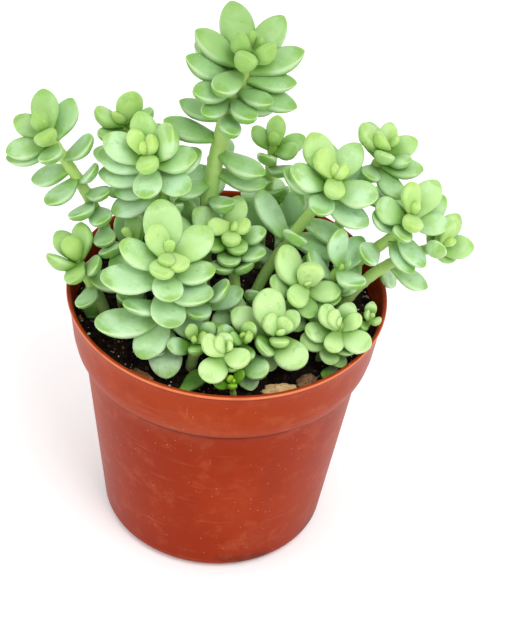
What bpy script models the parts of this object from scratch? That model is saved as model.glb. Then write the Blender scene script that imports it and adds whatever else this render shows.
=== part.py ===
"""Burrito sedum in a small plastic nursery pot: pot, soil, leafy stems, fallen leaves, stones and bark.

Metres, +Z up. The origin is the middle of the pot's flat foot, and the viewer of the photograph
stands on the -Y side. Each leafy stem is one solid: its stem and the leaves that grow from it.
"""

import math

import bmesh
import bpy
import numpy as np

MM = 0.001

# The pot is turned about the z axis, with a wall of even thickness.
POT_HEIGHT = 80 * MM
RIM_RADIUS = 45 * MM
LIP_FOOT_HEIGHT = 61.3 * MM
LIP_FOOT_RADIUS = 41.2 * MM
NECK_RADIUS = 39.7 * MM
FOOT_RADIUS = 32.4 * MM
FOOT_CORNER = 3.8 * MM
POT_WALL = 1.2 * MM
POT_SIDES = 32
DRAIN_HOLES = 6
DRAIN_HOLE_RADIUS = 2.4 * MM
DRAIN_RING_RADIUS = 20 * MM

# The soil fills the pot.
SOIL_HEIGHT = 72.5 * MM
SOIL_CRUMB = 0.55 * MM
SOIL_RINGS = 3
REST_GAP = 0.3 * MM

# A leaf is an ellipse carried along a midline, as parts of its length. Its tip is round at a power of
# a half and more pointed above that.
LEAF_WIDTH = 0.58
LEAF_THICKNESS = 0.34
YOUNG_LEAF_PLUMPER = 0.24
LEAF_CURL = 0.10
WIDEST_AT = 0.58
NECK_WIDTH = 0.43
TIP_POWER = 0.74
UPPER_FACE = 0.68
LOWER_FACE = 1.15

# A bud is broader at its root and presses harder on its neighbours, less and less as it opens.
BUD_NECK_WIDER = 0.3
BUD_PRESS = 1.6 * MM
BUD_OPENING = 3.5

# How leaves follow each other down a stem, counted from the youngest.
GOLDEN_TURN = 137.5
YOUNGEST_TILT = 8
FULL_AGE = 9
GROWN_BELOW = 12 * MM
CROWDED = 8
STEM_RADIUS = 1.55 * MM
STEM_FOOT = 3.0 * MM
STEM_HOLE_GAP = 0.9 * MM

# Leaves turn their upper faces some way towards the light, which comes from above and in front.
TO_LIGHT = (0, -0.6, 0.8)
LIGHT_TURN = 0.6

# How far leaves of different stems keep clear of each other, and how they give way.
LEAF_CLEARANCE = 0.4 * MM
SHARED_BEND = 0.7 * MM
MOST_BEND = 42
BEND_ROUNDS = 44

# Each leafy stem, in millimetres and degrees. A lean or a turn of 0 faces the viewer for a lean and
# +X for a turn; a lean's second number is its tilt from upright. The rosette's leaves crowd round the
# head by the rule below, and the low ones follow at an even spacing. The extra ones are the leaves that
# the photograph shows one by one: how far below the head, turn, tilt from the stem, and length.
# wide, thick and tip say how broad, plump and pointed a stem's leaves are.
PLAIN_SHOOT = dict(
    low=0, spacing=4.0, young=14.0, most=50, slow=4.0, gap=1.5, hand=1,
    turn=GOLDEN_TURN, stem=STEM_RADIUS / MM, wide=LEAF_WIDTH, thick=LEAF_THICKNESS,
    tip=TIP_POWER, bare=5, old=0, shared=SHARED_BEND / MM, extra=(),
)
SHOOTS = dict(
    crown=dict(
        root=(-7.3, 4), head=(2, 12, 152.3), lean=(88, 18), leaf=15, rosette=2, first=30, stem=2.2,
        wide=0.47, thick=0.38, tip=0.78, shared=1.2, extra=(
            (1.5, 215, 45, 10), (2, 305, 38, 10.5), (2.7, 255, 62, 11.5), (3.5, 115, 75, 17.5),
            (4.5, 55, 55, 16), (5.5, 172, 82, 15.5), (6.5, 10, 60, 16), (7.5, 242, 92, 15),
            (8, 80, 85, 14.5), (8.5, 352, 78, 14), (8.5, 145, 95, 15), (10, 195, 82, 16),
            (11, 340, 90, 16), (12, 220, 88, 15.5), (12.5, 318, 80, 13.5), (13, 105, 98, 14),
            (15.5, 290, 82, 14), (16, 235, 98, 13), (18, 25, 98, 13), (21, 275, 88, 13),
            (23, 155, 98, 13), (29, 190, 88, 15.5), (33, 320, 92, 15.5), (36, 75, 95, 13),
            (39, 345, 95, 14), (43, 210, 100, 13), (47, 300, 98, 13),
        ),
    ),
    left_high=dict(
        root=(-29, -1), head=(-53.5, 10, 123.7), lean=(-64, 29), leaf=13, rosette=1, first=251, extra=(
            (0.8, 325, 15, 7.5), (1.8, 295, 65, 10), (3, 95, 60, 12), (3.5, 150, 65, 10.5),
            (5, 200, 70, 12), (6, 55, 75, 12.5), (7, 280, 80, 11.5), (8, 190, 80, 13.5),
            (12, 350, 80, 12.5), (16, 170, 90, 13), (19, 245, 95, 12.5), (20, 335, 80, 10.5),
            (24, 330, 100, 10.5), (27, 270, 95, 12), (29, 295, 110, 11.5), (35, 270, 105, 11),
            (40, 310, 95, 12),
        ),
    ),
    big_left=dict(
        root=(-15, 4), head=(-25, 2, 124), lean=(-37, 31), leaf=15, rosette=1, first=342, extra=(
            (0.8, 125, 35, 7.5), (1, 12, 45, 7.5), (1.8, 290, 60, 9.5), (3, 68, 55, 12),
            (4, 18, 65, 14.5), (4.5, 355, 75, 13.5), (5, 165, 72, 13.5), (6.5, 275, 82, 13.5),
            (7.5, 175, 80, 14.5), (8.5, 320, 88, 14), (10.5, 182, 85, 15), (12, 16, 88, 13.5),
            (14, 200, 90, 12), (17, 202, 92, 14.5), (18, 12, 95, 15), (23, 295, 75, 12),
            (28, 50, 115, 12.5), (31, 120, 130, 13),
        ),
    ),
    behind_left=dict(
        root=(-21, 15), head=(-31.3, 20, 123.4), lean=(170, 12), leaf=13, rosette=1, first=30, extra=(
            (0.8, 255, 60, 7), (2, 275, 38, 11.5), (3, 212, 68, 10.5), (3.5, 335, 58, 10),
            (5, 230, 82, 10), (9, 25, 85, 11), (14, 145, 95, 12), (20, 250, 90, 11),
        ),
    ),
    front_left=dict(
        root=(-16.5, -20), head=(-16.3, -15, 103.6), lean=(30, 12), leaf=14, rosette=1, first=101,
        wide=0.60, thick=0.25, tip=0.62, bare=1, extra=(
            (0.6, 270, 70, 7), (1, 300, 68, 8.5), (1.5, 148, 45, 10), (2.2, 258, 76, 10.5),
            (3, 40, 60, 14), (3.5, 98, 60, 16.5), (5, 182, 70, 14), (6, 78, 75, 17.5),
            (6, 276, 96, 13.5), (6.5, 340, 76, 14), (8.5, 204, 88, 18.5), (11, 322, 90, 16.5),
            (12, 145, 82, 17.5), (12, 288, 114, 16), (17, 228, 80, 14), (19, 248, 122, 16),
            (20, 210, 104, 19.5), (20, 326, 110, 13.5), (23, 282, 125, 16),
            (26, 250, 98, 11.5),
        ),
    ),
    left_low=dict(
        root=(-33, -8), head=(-42.7, -5, 93), lean=(-70, 16), leaf=12, rosette=1, first=193, bare=8, extra=(
            (1.2, 292, 15, 8.5), (2.5, 120, 55, 9.5), (3, 36, 56, 10.5), (3.5, 280, 82, 9.5),
            (4.5, 245, 52, 10.5), (6, 338, 66, 10), (12, 280, 90, 11),
        ),
    ),
    centre=dict(
        root=(4, -12), head=(-0.3, -3, 104.3), lean=(3, 30), leaf=13, rosette=1, first=343, bare=1, extra=(
            (0.8, 176, 48, 7.5), (0.8, 356, 40, 7), (1.6, 275, 62, 8), (3, 92, 60, 10),
            (4, 288, 90, 9.5), (4.5, 235, 80, 9.5), (5.5, 356, 75, 10), (6, 135, 76, 13),
            (8, 275, 110, 11.5), (9, 312, 118, 12), (12, 236, 112, 12), (14, 306, 118, 13.5),
            (22, 300, 122, 9.5), (24, 250, 118, 11),
        ),
    ),
    right_big=dict(
        root=(6, -5), head=(26.8, 2, 121.6), lean=(18, 21), leaf=14, rosette=1, first=215, extra=(
            (0.8, 162, 48, 9.5), (1, 325, 16, 6.5), (1.8, 268, 76, 9), (3, 136, 60, 13.5),
            (4, 56, 70, 12.5), (5, 196, 75, 14), (5.5, 335, 75, 14), (6.5, 95, 80, 13),
            (7, 254, 88, 12.5), (9, 36, 82, 15), (9, 178, 82, 13.5), (10, 325, 85, 14.5),
            (20, 6, 94, 13.5), (25, 250, 76, 12.5), (26, 4, 96, 16.5), (27, 142, 74, 16),
            (44, 206, 92, 14.5), (47, 248, 74, 12),
        ),
    ),
    right_back=dict(
        root=(26, 13), head=(41.3, 15, 123), lean=(100, 21), leaf=12, rosette=1, first=355, extra=(
            (0.8, 218, 60, 7.5), (2.2, 184, 72, 10.5), (2.5, 98, 55, 8), (3.2, 262, 70, 9), (3.5, 35, 64, 10),
            (4, 315, 68, 9), (5.5, 122, 75, 11), (6.5, 336, 76, 12), (7.5, 304, 95, 12.5),
            (8, 248, 86, 10.5), (14, 272, 82, 12), (18, 10, 85, 14),
        ),
    ),
    right=dict(
        root=(27, 2), head=(49.3, 0, 112.3), lean=(42, 18), leaf=13.3, rosette=1, first=215, extra=(
            (0.8, 134, 38, 9), (1.8, 258, 66, 9), (3, 64, 60, 12), (4, 170, 76, 12),
            (5, 356, 72, 11), (6, 250, 76, 10), (6.5, 44, 68, 14), (9, 188, 84, 11),
            (10, 318, 82, 12), (13, 310, 90, 11.5), (18, 228, 105, 12.5), (22, 332, 100, 12),
            (26, 256, 116, 13),
        ),
    ),
    far_right=dict(
        root=(31, -3), head=(59, 0, 101.5), lean=(75, 60), leaf=11, rosette=1, first=186, extra=(
            (0.8, 126, 68, 7), (2, 104, 52, 10), (3, 12, 45, 10.5), (4, 0, 74, 8.5),
            (5, 82, 70, 8), (5.5, 224, 68, 9.5), (17, 330, 70, 12), (20, 355, 98, 12),
        ),
    ),
    back=dict(
        root=(8, 20), head=(9.9, 25, 113.6), lean=(0, 8), leaf=13, rosette=1, first=261, extra=(
            (2, 84, 50, 8.5), (3, 150, 60, 8), (3.5, 338, 64, 9), (4, 16, 66, 9.5),
            (5.5, 252, 58, 9.5), (9, 298, 66, 11), (13, 232, 70, 12), (17, 292, 66, 12),
            (21, 110, 110, 11.5),
        ),
    ),
    mid_right=dict(
        root=(15, -10), head=(21.9, -13, 94.2), lean=(25, 42), leaf=12, rosette=1, first=131,
        wide=0.60, thick=0.28, tip=0.64, bare=1, extra=(
            (0.8, 96, 42, 10.5), (1.8, 228, 74, 9.5), (3, 142, 60, 14), (3.5, 356, 62, 10),
            (4.5, 280, 84, 9.5), (5.5, 58, 82, 10), (6, 182, 56, 11), (7.5, 344, 80, 12),
            (12, 270, 86, 11), (13, 202, 72, 11),
        ),
    ),
    front_mid=dict(
        root=(12, -20), head=(14.7, -24, 86.3), lean=(27, 34), leaf=12, rosette=1, first=288,
        wide=0.60, thick=0.28, tip=0.64, bare=1, extra=(
            (0.8, 158, 46, 7.5), (0.8, 60, 15, 7), (2, 122, 55, 13.5), (2.5, 48, 56, 8.5),
            (3, 275, 62, 8), (3.5, 304, 62, 13.5), (5, 172, 72, 13), (5, 226, 72, 10.5),
            (7, 252, 86, 8.5),
        ),
    ),
    right_front=dict(
        root=(27, -18), head=(31.4, -21, 87.8), lean=(3, 25), leaf=11, rosette=1, first=170,
        wide=0.60, thick=0.28, tip=0.64, bare=0.5, extra=(
            (0.8, 160, 34, 6.5), (2, 160, 50, 9), (2.5, 20, 46, 7), (3, 254, 80, 8.5),
            (3.5, 318, 64, 11), (4.5, 92, 72, 8.5), (5.5, 195, 84, 10), (8, 262, 90, 9.5),
            (8, 298, 76, 9), (7, 212, 92, 10.5), (10, 288, 74, 9),
        ),
    ),
    front_low=dict(
        root=(0, -29), head=(0.9, -33, 86.8), lean=(20, 20), leaf=11, rosette=1, first=2,
        wide=0.60, thick=0.28, tip=0.64, bare=1, extra=(
            (0.6, 180, 30, 6), (1.5, 188, 50, 9), (2, 328, 64, 9.5), (2.5, 95, 30, 7),
            (3.2, 254, 82, 11.5), (5, 306, 70, 7.5),
        ),
    ),
    rim_tiny=dict(
        root=(37, -11), head=(39.7, -13, 84.1), lean=(45, 15), leaf=6.8, rosette=5, young=5,
        most=90, gap=1.3, first=40, bare=1, stem=1.1,
    ),
    bright=dict(
        root=(4, -36), head=(3.2, -38, 79.5), lean=(0, 20), leaf=5.5, rosette=5, young=4,
        most=90, gap=1.0, first=0, bare=-1, stem=0.9,
    ),
    under_left=dict(
        root=(-24, -4), head=(-28, -3, 98), lean=(-60, 30), leaf=12, rosette=1, first=80, bare=1, extra=(
            (3, 82, 60, 8), (6, 148, 75, 14.5), (10, 90, 116, 13), (14, 214, 92, 14.5),
            (18, 256, 82, 12.5),
        ),
    ),
    under_back=dict(
        root=(-9, 13), head=(-11, 12, 95), lean=(-60, 20), leaf=13, rosette=3, low=3,
        spacing=4, young=1, most=85, slow=2, gap=2.4, first=30, hand=-1, bare=1, old=6,
    ),
    under_far=dict(
        root=(15, 14), head=(13, 12.5, 94.5), lean=(-20, 20), leaf=13.5, rosette=3, low=3,
        spacing=4, young=1, most=85, slow=2, gap=2.4, first=250, bare=1, old=6,
    ),
    under_mid=dict(
        root=(-6.5, -14.5), head=(-6, -15.5, 90.5), lean=(-30, 20), leaf=12, rosette=4, low=3,
        spacing=3, young=1, most=88, slow=2, gap=2.4, first=200, bare=1, old=6,
    ),
    under_right=dict(
        root=(26, -6), head=(31, -7, 97), lean=(60, 30), leaf=12.5, rosette=4, low=4,
        spacing=3, young=1, most=88, slow=2, gap=2.4, first=10, bare=1, old=6,
    ),
    back_left=dict(
        root=(-11, 30), head=(-12, 30, 91), lean=(-160, 15), leaf=11, rosette=7, young=5,
        most=90, first=60, bare=1,
    ),
    back_right=dict(
        root=(15, 31), head=(16, 32, 88), lean=(150, 15), leaf=10.5, rosette=6, young=4,
        most=90, first=200, hand=-1, bare=1,
    ),
    low_mid=dict(
        root=(5, -25), head=(5.5, -26.5, 85), lean=(10, 15), leaf=9, rosette=6, young=5,
        most=92, gap=1.3, first=120, hand=-1, bare=0.5,
        extra=((6, 324, 84, 13), (7, 288, 108, 11)),
    ),
    low_left=dict(
        root=(-8.5, -25.5), head=(-7.3, -26.8, 83.5), lean=(-10, 20), leaf=9, rosette=6, young=5,
        most=92, gap=1.3, first=220, bare=0.5,
    ),
)

# Faces of the solids. A leaf is three points at its root, rings at these stations, and a tip.
# A leaf shorter than SHORT_LEAF has a single ring.
LEAF_STATIONS = (0.42, 0.86)
SHORT_STATIONS = (0.62,)
SHORT_LEAF = 12.6 * MM
LEAF_SIDES = 6
FACET_ALLOWANCE = 1.06
STEM_SIDES = 5
STEM_RINGS = 6


def unit(vectors):
    return vectors / np.linalg.norm(vectors, axis=-1, keepdims=True)


def distance_along(line):
    return np.concatenate([[0], np.cumsum(np.linalg.norm(np.diff(line, axis=0), axis=1))])


def stem_line(shoot, count=80):
    """A cubic curve that leaves the soil upright and comes into the head along its lean."""
    root = np.array([*shoot["root"], 0]) * MM + [0, 0, SOIL_HEIGHT - STEM_FOOT]
    head = np.array(shoot["head"]) * MM
    turn, tilt = np.radians(shoot["lean"])
    lean = np.array([math.sin(tilt) * math.sin(turn), -math.sin(tilt) * math.cos(turn), math.cos(tilt)])
    span = np.linalg.norm(head - root)
    rise = root + [0, 0, 0.42 * span]
    entry = head - 0.36 * span * lean
    t = np.linspace(0, 1, count)[:, None]
    return (1 - t) ** 3 * root + 3 * t * (1 - t) ** 2 * rise + 3 * t**2 * (1 - t) * entry + t**3 * head


def stem_frame(line):
    """The direction along a stem, and a side direction carried down from +X at its head."""
    along = unit(np.gradient(line, axis=0))
    side = np.empty_like(along)
    carried = np.array([1.0, 0, 0])
    for k in range(len(line) - 1, -1, -1):
        carried = unit(carried - along[k] * (carried @ along[k]))
        side[k] = carried
    return along, side


def stem_radius(line, shoot):
    """A stem thins over its last 8 mm."""
    from_head = distance_along(line)[-1] - distance_along(line)
    return shoot["stem"] * MM * np.interp(from_head, [0, 3 * MM, 8 * MM], [0.5, 0.8, 1.0])


def outline(along, tip, neck):
    """Half width along a leaf as a part of its greatest: a sine rise from the neck, then its tip."""
    rise = neck + (1 - neck) * np.sin(np.pi / 2 * np.clip(along / WIDEST_AT, 0, 1)) ** 1.2
    past = np.clip((along - WIDEST_AT) / (1 - WIDEST_AT), 0, 1)
    return np.where(along < WIDEST_AT, rise, (1 - past**2) ** tip)


def leaf_rows(shoot):
    """(distance below the head, turn, tilt, length, age) of each leaf, youngest first.

    Leaves open and lengthen with age, and their spacing grows to gap, then to spacing lower down.
    """
    count = shoot["rosette"] + shoot["low"]
    order = np.arange(count)
    step = shoot["gap"] * np.clip(0.15 + 0.85 * order / CROWDED, 0, 1)
    step[shoot["rosette"]:] = shoot["spacing"]
    step[0] = 0.3
    length = shoot["leaf"] * np.clip(0.32 + 0.68 * (order / shoot["young"]) ** 0.7, 0, 1)
    length[shoot["rosette"]:] *= 0.95
    tilt = YOUNGEST_TILT + (shoot["most"] - YOUNGEST_TILT) * (1 - np.exp(-order / shoot["slow"]))
    tilt[shoot["rosette"]:] = tilt[shoot["rosette"] - 1]
    turn = shoot["first"] + shoot["hand"] * shoot["turn"] * order
    age = np.clip((order + shoot["old"]) / FULL_AGE, 0, 1)
    rows = np.stack([np.cumsum(step) * MM, np.radians(turn), np.radians(tilt), length * MM, age], axis=1)
    low_down = [
        (below * MM, math.radians(turned), math.radians(tilted), size * MM, min(below * MM / GROWN_BELOW, 1))
        for below, turned, tilted, size in shoot["extra"]
    ]
    return np.concatenate([rows, np.array(low_down).reshape(-1, 5)])


def grow(shoots):
    """Every leaf of the plant as arrays: base, way it points, upper face, length, age and stem."""
    found = []
    for number, (shoot, line) in enumerate(shoots):
        along, side = stem_frame(line)
        far = distance_along(line)
        rows = leaf_rows(shoot)
        rows = rows[far[-1] - rows[:, 0] >= shoot["bare"] * MM + STEM_FOOT]
        below, turn, tilt, length, age = rows.T
        at = far[-1] - below

        def read(values):
            return np.stack([np.interp(at, far, values[:, axis]) for axis in range(3)], axis=1)

        up = unit(read(along))
        across = read(side)
        across = unit(across - up * np.sum(across * up, axis=1, keepdims=True))
        out = across * np.cos(turn)[:, None] + np.cross(up, across) * np.sin(turn)[:, None]
        thick = shoot["stem"] * MM * np.interp(below, [0, 3 * MM, 8 * MM], [0.5, 0.8, 1.0])
        opened, closed = np.sin(tilt)[:, None], np.cos(tilt)[:, None]
        way, face = up * closed + out * opened, up * opened - out * closed
        lit = np.array(TO_LIGHT) - way * (way @ np.array(TO_LIGHT))[:, None]
        bud = np.clip(1 - BUD_OPENING * age, 0, 1)
        found.append(
            dict(
                base=read(line) + out * thick[:, None] * 0.5,
                way=way,
                face=unit(face + LIGHT_TURN * lit),
                length=length,
                age=age,
                owner=np.full(len(age), number),
                shared=shoot["shared"] * MM + BUD_PRESS * bud,
                neck=NECK_WIDTH + BUD_NECK_WIDER * bud,
                wide=np.full(len(age), shoot["wide"]),
                thick=np.full(len(age), shoot["thick"]),
                tip=np.full(len(age), shoot["tip"]),
            )
        )
    return {key: np.concatenate([part[key] for part in found]) for key in found[0]}


def leaf_size(leaves):
    """Width and thickness as parts of the length. A young leaf is plumper, and half as much wider."""
    plumper = YOUNG_LEAF_PLUMPER * np.clip(1 - 1.5 * leaves["age"], 0, 1)
    return leaves["wide"] + plumper / 2, leaves["thick"] + plumper


# Two balls side by side at each of these stations stand for a leaf while it finds its room.
BALL_STATIONS = np.repeat([0.30, 0.48, 0.66, 0.84], 2)
BALL_SIDES = np.tile([-1.0, 1.0], 4)


def leaf_balls(leaves):
    """Centres and radii of the balls that fill each leaf."""
    width, thickness = (share[:, None] for share in leaf_size(leaves))
    length, tip, neck = (leaves[key][:, None] for key in ("length", "tip", "neck"))
    half = outline(BALL_STATIONS, tip, neck) * length / 2
    across = np.cross(leaves["face"], leaves["way"])[:, None]
    reach = (BALL_STATIONS * leaves["length"][:, None])[..., None]
    curl = (LEAF_CURL * BALL_STATIONS**2 * leaves["length"][:, None])[..., None]
    centres = leaves["base"][:, None] + reach * leaves["way"][:, None] + curl * leaves["face"][:, None]
    centres = centres + (BALL_SIDES * half * (width - thickness))[..., None] * across
    return centres, half * thickness


def near_pairs(leaves):
    """Pairs of leaves close enough to meet, each pair once."""
    middle = leaves["base"] + 0.6 * leaves["length"][:, None] * leaves["way"]
    reach = 0.65 * leaves["length"]
    apart = np.linalg.norm(middle[:, None] - middle[None], axis=-1)
    order = np.arange(len(reach))
    close = apart < reach[:, None] + reach[None] + 6 * MM
    return np.nonzero(close & (order[:, None] < order[None]))


def leaf_contacts(centres, radii, leaves, pairs):
    """(leaf, ball, push) for balls of two leaves that come too near. One stem's leaves may press a little."""
    first, second = pairs
    strangers = leaves["owner"][first] != leaves["owner"][second]
    outer = BALL_STATIONS > 0.4
    allowed = np.where(strangers[:, None, None], True, outer[None, :, None] & outer[None, None, :])
    margin = np.where(strangers, LEAF_CLEARANCE, -leaves["shared"][first])[:, None, None]
    between = centres[first][:, :, None] - centres[second][:, None]
    apart = np.linalg.norm(between, axis=-1) + 1e-9
    depth = radii[first][:, :, None] + radii[second][:, None] + margin - apart
    pair, one, other = np.nonzero((depth > 0) & allowed)
    depth = depth[pair, one, other]
    share = np.where(strangers[pair], 0.5, 0.3) * depth
    push = between[pair, one, other] / apart[pair, one, other][:, None] * share[:, None]
    depth = np.where(strangers[pair], depth, 0)
    return [(first[pair], one, push, depth), (second[pair], other, -push, depth)]


def stem_contacts(centres, radii, leaves, stems):
    """Pushes on balls that come too near another shoot's stem."""
    points, thick, owner = stems
    balls = centres.reshape(-1, 3)
    squared = (balls**2).sum(1)[:, None] + (points**2).sum(1) - 2 * balls @ points.T
    apart = np.sqrt(np.maximum(squared, 0)) + 1e-9
    depth = radii.reshape(-1)[:, None] + thick + 1.6 * LEAF_CLEARANCE - apart
    depth[np.repeat(leaves["owner"], len(BALL_SIDES))[:, None] == owner] = -1
    nearest = depth.argmax(axis=1)
    hit = np.nonzero(depth.max(axis=1) > 0)[0]
    nearest = nearest[hit]
    push = (balls[hit] - points[nearest]) * (depth[hit, nearest] / apart[hit, nearest])[:, None]
    return [(hit // len(BALL_SIDES), hit % len(BALL_SIDES), push, depth[hit, nearest])]


def pot_contacts(centres, radii):
    """Pushes on balls that sink into the soil or come too near the pot's upright lip."""
    balls = centres.reshape(-1, 3)
    radius = radii.reshape(-1)
    from_axis = np.hypot(balls[:, 0], balls[:, 1]) + 1e-9
    contacts = []
    depth = SOIL_HEIGHT + 0.9 * MM + radius + LEAF_CLEARANCE - balls[:, 2]
    hit = np.nonzero((depth > 0) & (from_axis < RIM_RADIUS))[0]
    push = np.zeros((len(hit), 3))
    push[:, 2] = depth[hit]
    contacts.append((hit // len(BALL_SIDES), hit % len(BALL_SIDES), push, depth[hit]))
    wall = np.clip(from_axis, RIM_RADIUS - POT_WALL, RIM_RADIUS)
    outward = from_axis - wall
    upward = balls[:, 2] - np.minimum(balls[:, 2], POT_HEIGHT)
    apart = np.hypot(outward, upward)
    depth = radius + 2 * LEAF_CLEARANCE - apart
    hit = np.nonzero(depth > 0)[0]
    way = balls[hit] / from_axis[hit, None] * outward[hit, None]
    way[:, 2] = upward[hit]
    way = np.where(apart[hit, None] > 1e-6, way / (apart[hit, None] + 1e-9), [0, 0, 1.0])
    contacts.append((hit // len(BALL_SIDES), hit % len(BALL_SIDES), way * depth[hit, None], depth[hit]))
    return contacts


def make_room(leaves, shoots):
    """Bends each leaf about its base until leaves of different stems, the pot and the soil are clear.

    A leaf that stays pressed shortens a little, and one that still finds no room isn't grown.
    """
    count = len(leaves["length"])
    straight, full_length = leaves["way"].copy(), leaves["length"].copy()
    pairs = near_pairs(leaves)
    stems = (
        np.concatenate([line[::3] for _, line in shoots]),
        np.concatenate([stem_radius(line, shoot)[::3] for shoot, line in shoots]),
        np.concatenate([np.full(len(line[::3]), k) for k, (_, line) in enumerate(shoots)]),
    )

    def contacts():
        centres, radii = leaf_balls(leaves)
        found = leaf_contacts(centres, radii, leaves, pairs)
        found += stem_contacts(centres, radii, leaves, stems)
        found += pot_contacts(centres, radii)
        turn, worst = np.zeros((count, 3)), np.zeros(count)
        arms = centres - leaves["base"][:, None]
        for leaf, ball, push, depth in found:
            arm = arms[leaf, ball]
            np.add.at(turn, leaf, np.cross(arm, push) / (np.sum(arm**2, axis=1, keepdims=True) + MM**2))
            np.maximum.at(worst, leaf, depth)
        return turn, worst

    def square_up():
        leaves["way"] = unit(leaves["way"])
        skew = np.sum(leaves["face"] * leaves["way"], axis=1, keepdims=True)
        leaves["face"] = unit(leaves["face"] - leaves["way"] * skew)

    for attempt in range(BEND_ROUNDS):
        turn, worst = contacts()
        turn *= 0.45
        size = np.linalg.norm(turn, axis=1, keepdims=True) + 1e-12
        turn *= np.minimum(size, 0.09) / size
        leaves["way"] = leaves["way"] + np.cross(turn, leaves["way"])
        leaves["face"] = leaves["face"] + np.cross(turn, leaves["face"])
        square_up()
        too_far = np.sum(leaves["way"] * straight, axis=1) < math.cos(math.radians(MOST_BEND))
        leaves["way"][too_far] += 0.15 * straight[too_far]
        square_up()
        if attempt > 14 and attempt % 6 == 0:
            pressed = (worst > 0.45 * MM) & (leaves["length"] > 0.62 * full_length)
            leaves["length"][pressed] *= 0.94

    kept = np.ones(count, bool)
    while True:
        _, worst = contacts()
        if worst[kept].max() < 1.4 * LEAF_CLEARANCE:
            break
        crowded = np.where(kept, worst, 0).argmax()
        kept[crowded] = False
        out_of_the_way = [0, 0, 1]
        leaves["base"][crowded] += out_of_the_way
    return {key: values[kept] for key, values in leaves.items()}


def material(name, colour, roughness):
    made = bpy.data.materials.new(name)
    made.use_nodes = True
    shader = made.node_tree.nodes["Principled BSDF"]
    shader.inputs["Base Color"].default_value = (*colour, 1)
    shader.inputs["Roughness"].default_value = roughness
    return made


def mesh_object(name, points, faces, surface):
    mesh = bpy.data.meshes.new(name)
    mesh.from_pydata([tuple(map(float, point)) for point in points], [], faces)
    mesh.materials.append(surface)
    mesh.shade_smooth()
    made = bpy.data.objects.new(name, mesh)
    bpy.context.scene.collection.objects.link(made)
    return made


def skin_rings(rings, sides, start, tip=None):
    """Faces of a tube of rings, capped flat at the first ring and by a tip point or flat at the last."""
    faces = [[start + k for k in range(sides)][::-1]]
    for ring in range(rings - 1):
        low, high = start + ring * sides, start + (ring + 1) * sides
        for k in range(sides):
            beside = (k + 1) % sides
            faces.append([low + k, low + beside, high + beside, high + k])
    last = start + (rings - 1) * sides
    if tip is None:
        faces.append([last + k for k in range(sides)])
    else:
        faces += [[last + k, last + (k + 1) % sides, tip] for k in range(sides)]
    return faces


def leaf_solid(name, leaf, surface):
    """One closed leaf: a three-sided root, an ellipse at each station that is flatter above, and a tip."""
    across = np.cross(leaf["face"], leaf["way"])
    width, thickness = leaf_size(leaf)

    def ring(station, sides):
        turn = 2 * np.pi * np.arange(sides)[:, None] / sides
        half = outline(station, leaf["tip"], leaf["neck"]) * leaf["length"] / 2 * FACET_ALLOWANCE
        height = np.sin(turn) * np.where(np.sin(turn) > 0, UPPER_FACE, LOWER_FACE)
        middle = leaf["base"] + station * leaf["length"] * (leaf["way"] + station * LEAF_CURL * leaf["face"])
        return middle + half * (width * np.cos(turn) * across + thickness * height * leaf["face"])

    stations = SHORT_STATIONS if leaf["length"] < SHORT_LEAF else LEAF_STATIONS
    root = ring(0.0, LEAF_SIDES // 2)
    tip = leaf["base"] + leaf["length"] * (leaf["way"] + LEAF_CURL * leaf["face"])
    points = np.concatenate([root] + [ring(station, LEAF_SIDES) for station in stations] + [[tip]])
    faces = [list(range(len(root)))[::-1]]
    for k in range(len(root)):
        beside = (k + 1) % len(root)
        near, between, far = (len(root) + (2 * k + step) % LEAF_SIDES for step in range(3))
        faces += [[k, between, near], [k, beside, between], [beside, far, between]]
    faces += skin_rings(len(stations), LEAF_SIDES, len(root), tip=len(points) - 1)[1:]
    return mesh_object(name, points, faces, surface)


def stem_solid(name, shoot, line, surface):
    """The stem as a tube along its line, from its foot in the soil up into its youngest leaves."""
    along, side = stem_frame(line)
    picked = np.linspace(0, len(line) - 1, STEM_RINGS).round().astype(int)
    turn = np.linspace(0, 2 * np.pi, STEM_SIDES, endpoint=False)[:, None]
    across = np.cross(along, side)[picked, None]
    radius = stem_radius(line, shoot)[picked, None, None]
    points = line[picked, None] + radius * (side[picked, None] * np.cos(turn) + across * np.sin(turn))
    faces = skin_rings(STEM_RINGS, STEM_SIDES, 0)
    return mesh_object(name, points.reshape(-1, 3), faces, surface)


def apply_boolean(target, others, operation):
    """Joins or cuts with every object of a list at once, keeps the result, and removes the others."""
    group = bpy.data.collections.new(target.name + "_others")
    bpy.context.scene.collection.children.link(group)
    for other in others:
        bpy.context.scene.collection.objects.unlink(other)
        group.objects.link(other)
    modifier = target.modifiers.new("join", "BOOLEAN")
    modifier.operation = operation
    modifier.solver = "EXACT"
    modifier.operand_type = "COLLECTION"
    modifier.collection = group
    bpy.context.view_layer.update()
    graph = bpy.context.evaluated_depsgraph_get()
    result = bpy.data.meshes.new_from_object(target.evaluated_get(graph))
    target.modifiers.clear()
    old = target.data
    target.data = result
    bpy.data.meshes.remove(old)
    for other in others:
        bpy.data.objects.remove(other)
    bpy.data.collections.remove(group)


def keep_largest_body(target):
    """Drops loose scraps and the skins of sealed hollows, which a union can leave behind."""
    work = bmesh.new()
    work.from_mesh(target.data)
    unseen = set(work.verts)
    bodies = []
    while unseen:
        body, edge = set(), [unseen.pop()]
        while edge:
            vert = edge.pop()
            body.add(vert)
            near = {link.other_vert(vert) for link in vert.link_edges} & unseen
            unseen -= near
            edge.extend(near)
        bodies.append(body)
    largest = max(bodies, key=len)
    spare = [vert for body in bodies if body is not largest for vert in body]
    bmesh.ops.delete(work, geom=spare, context="VERTS")
    work.to_mesh(target.data)
    work.free()
    target.data.shade_smooth()


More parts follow.
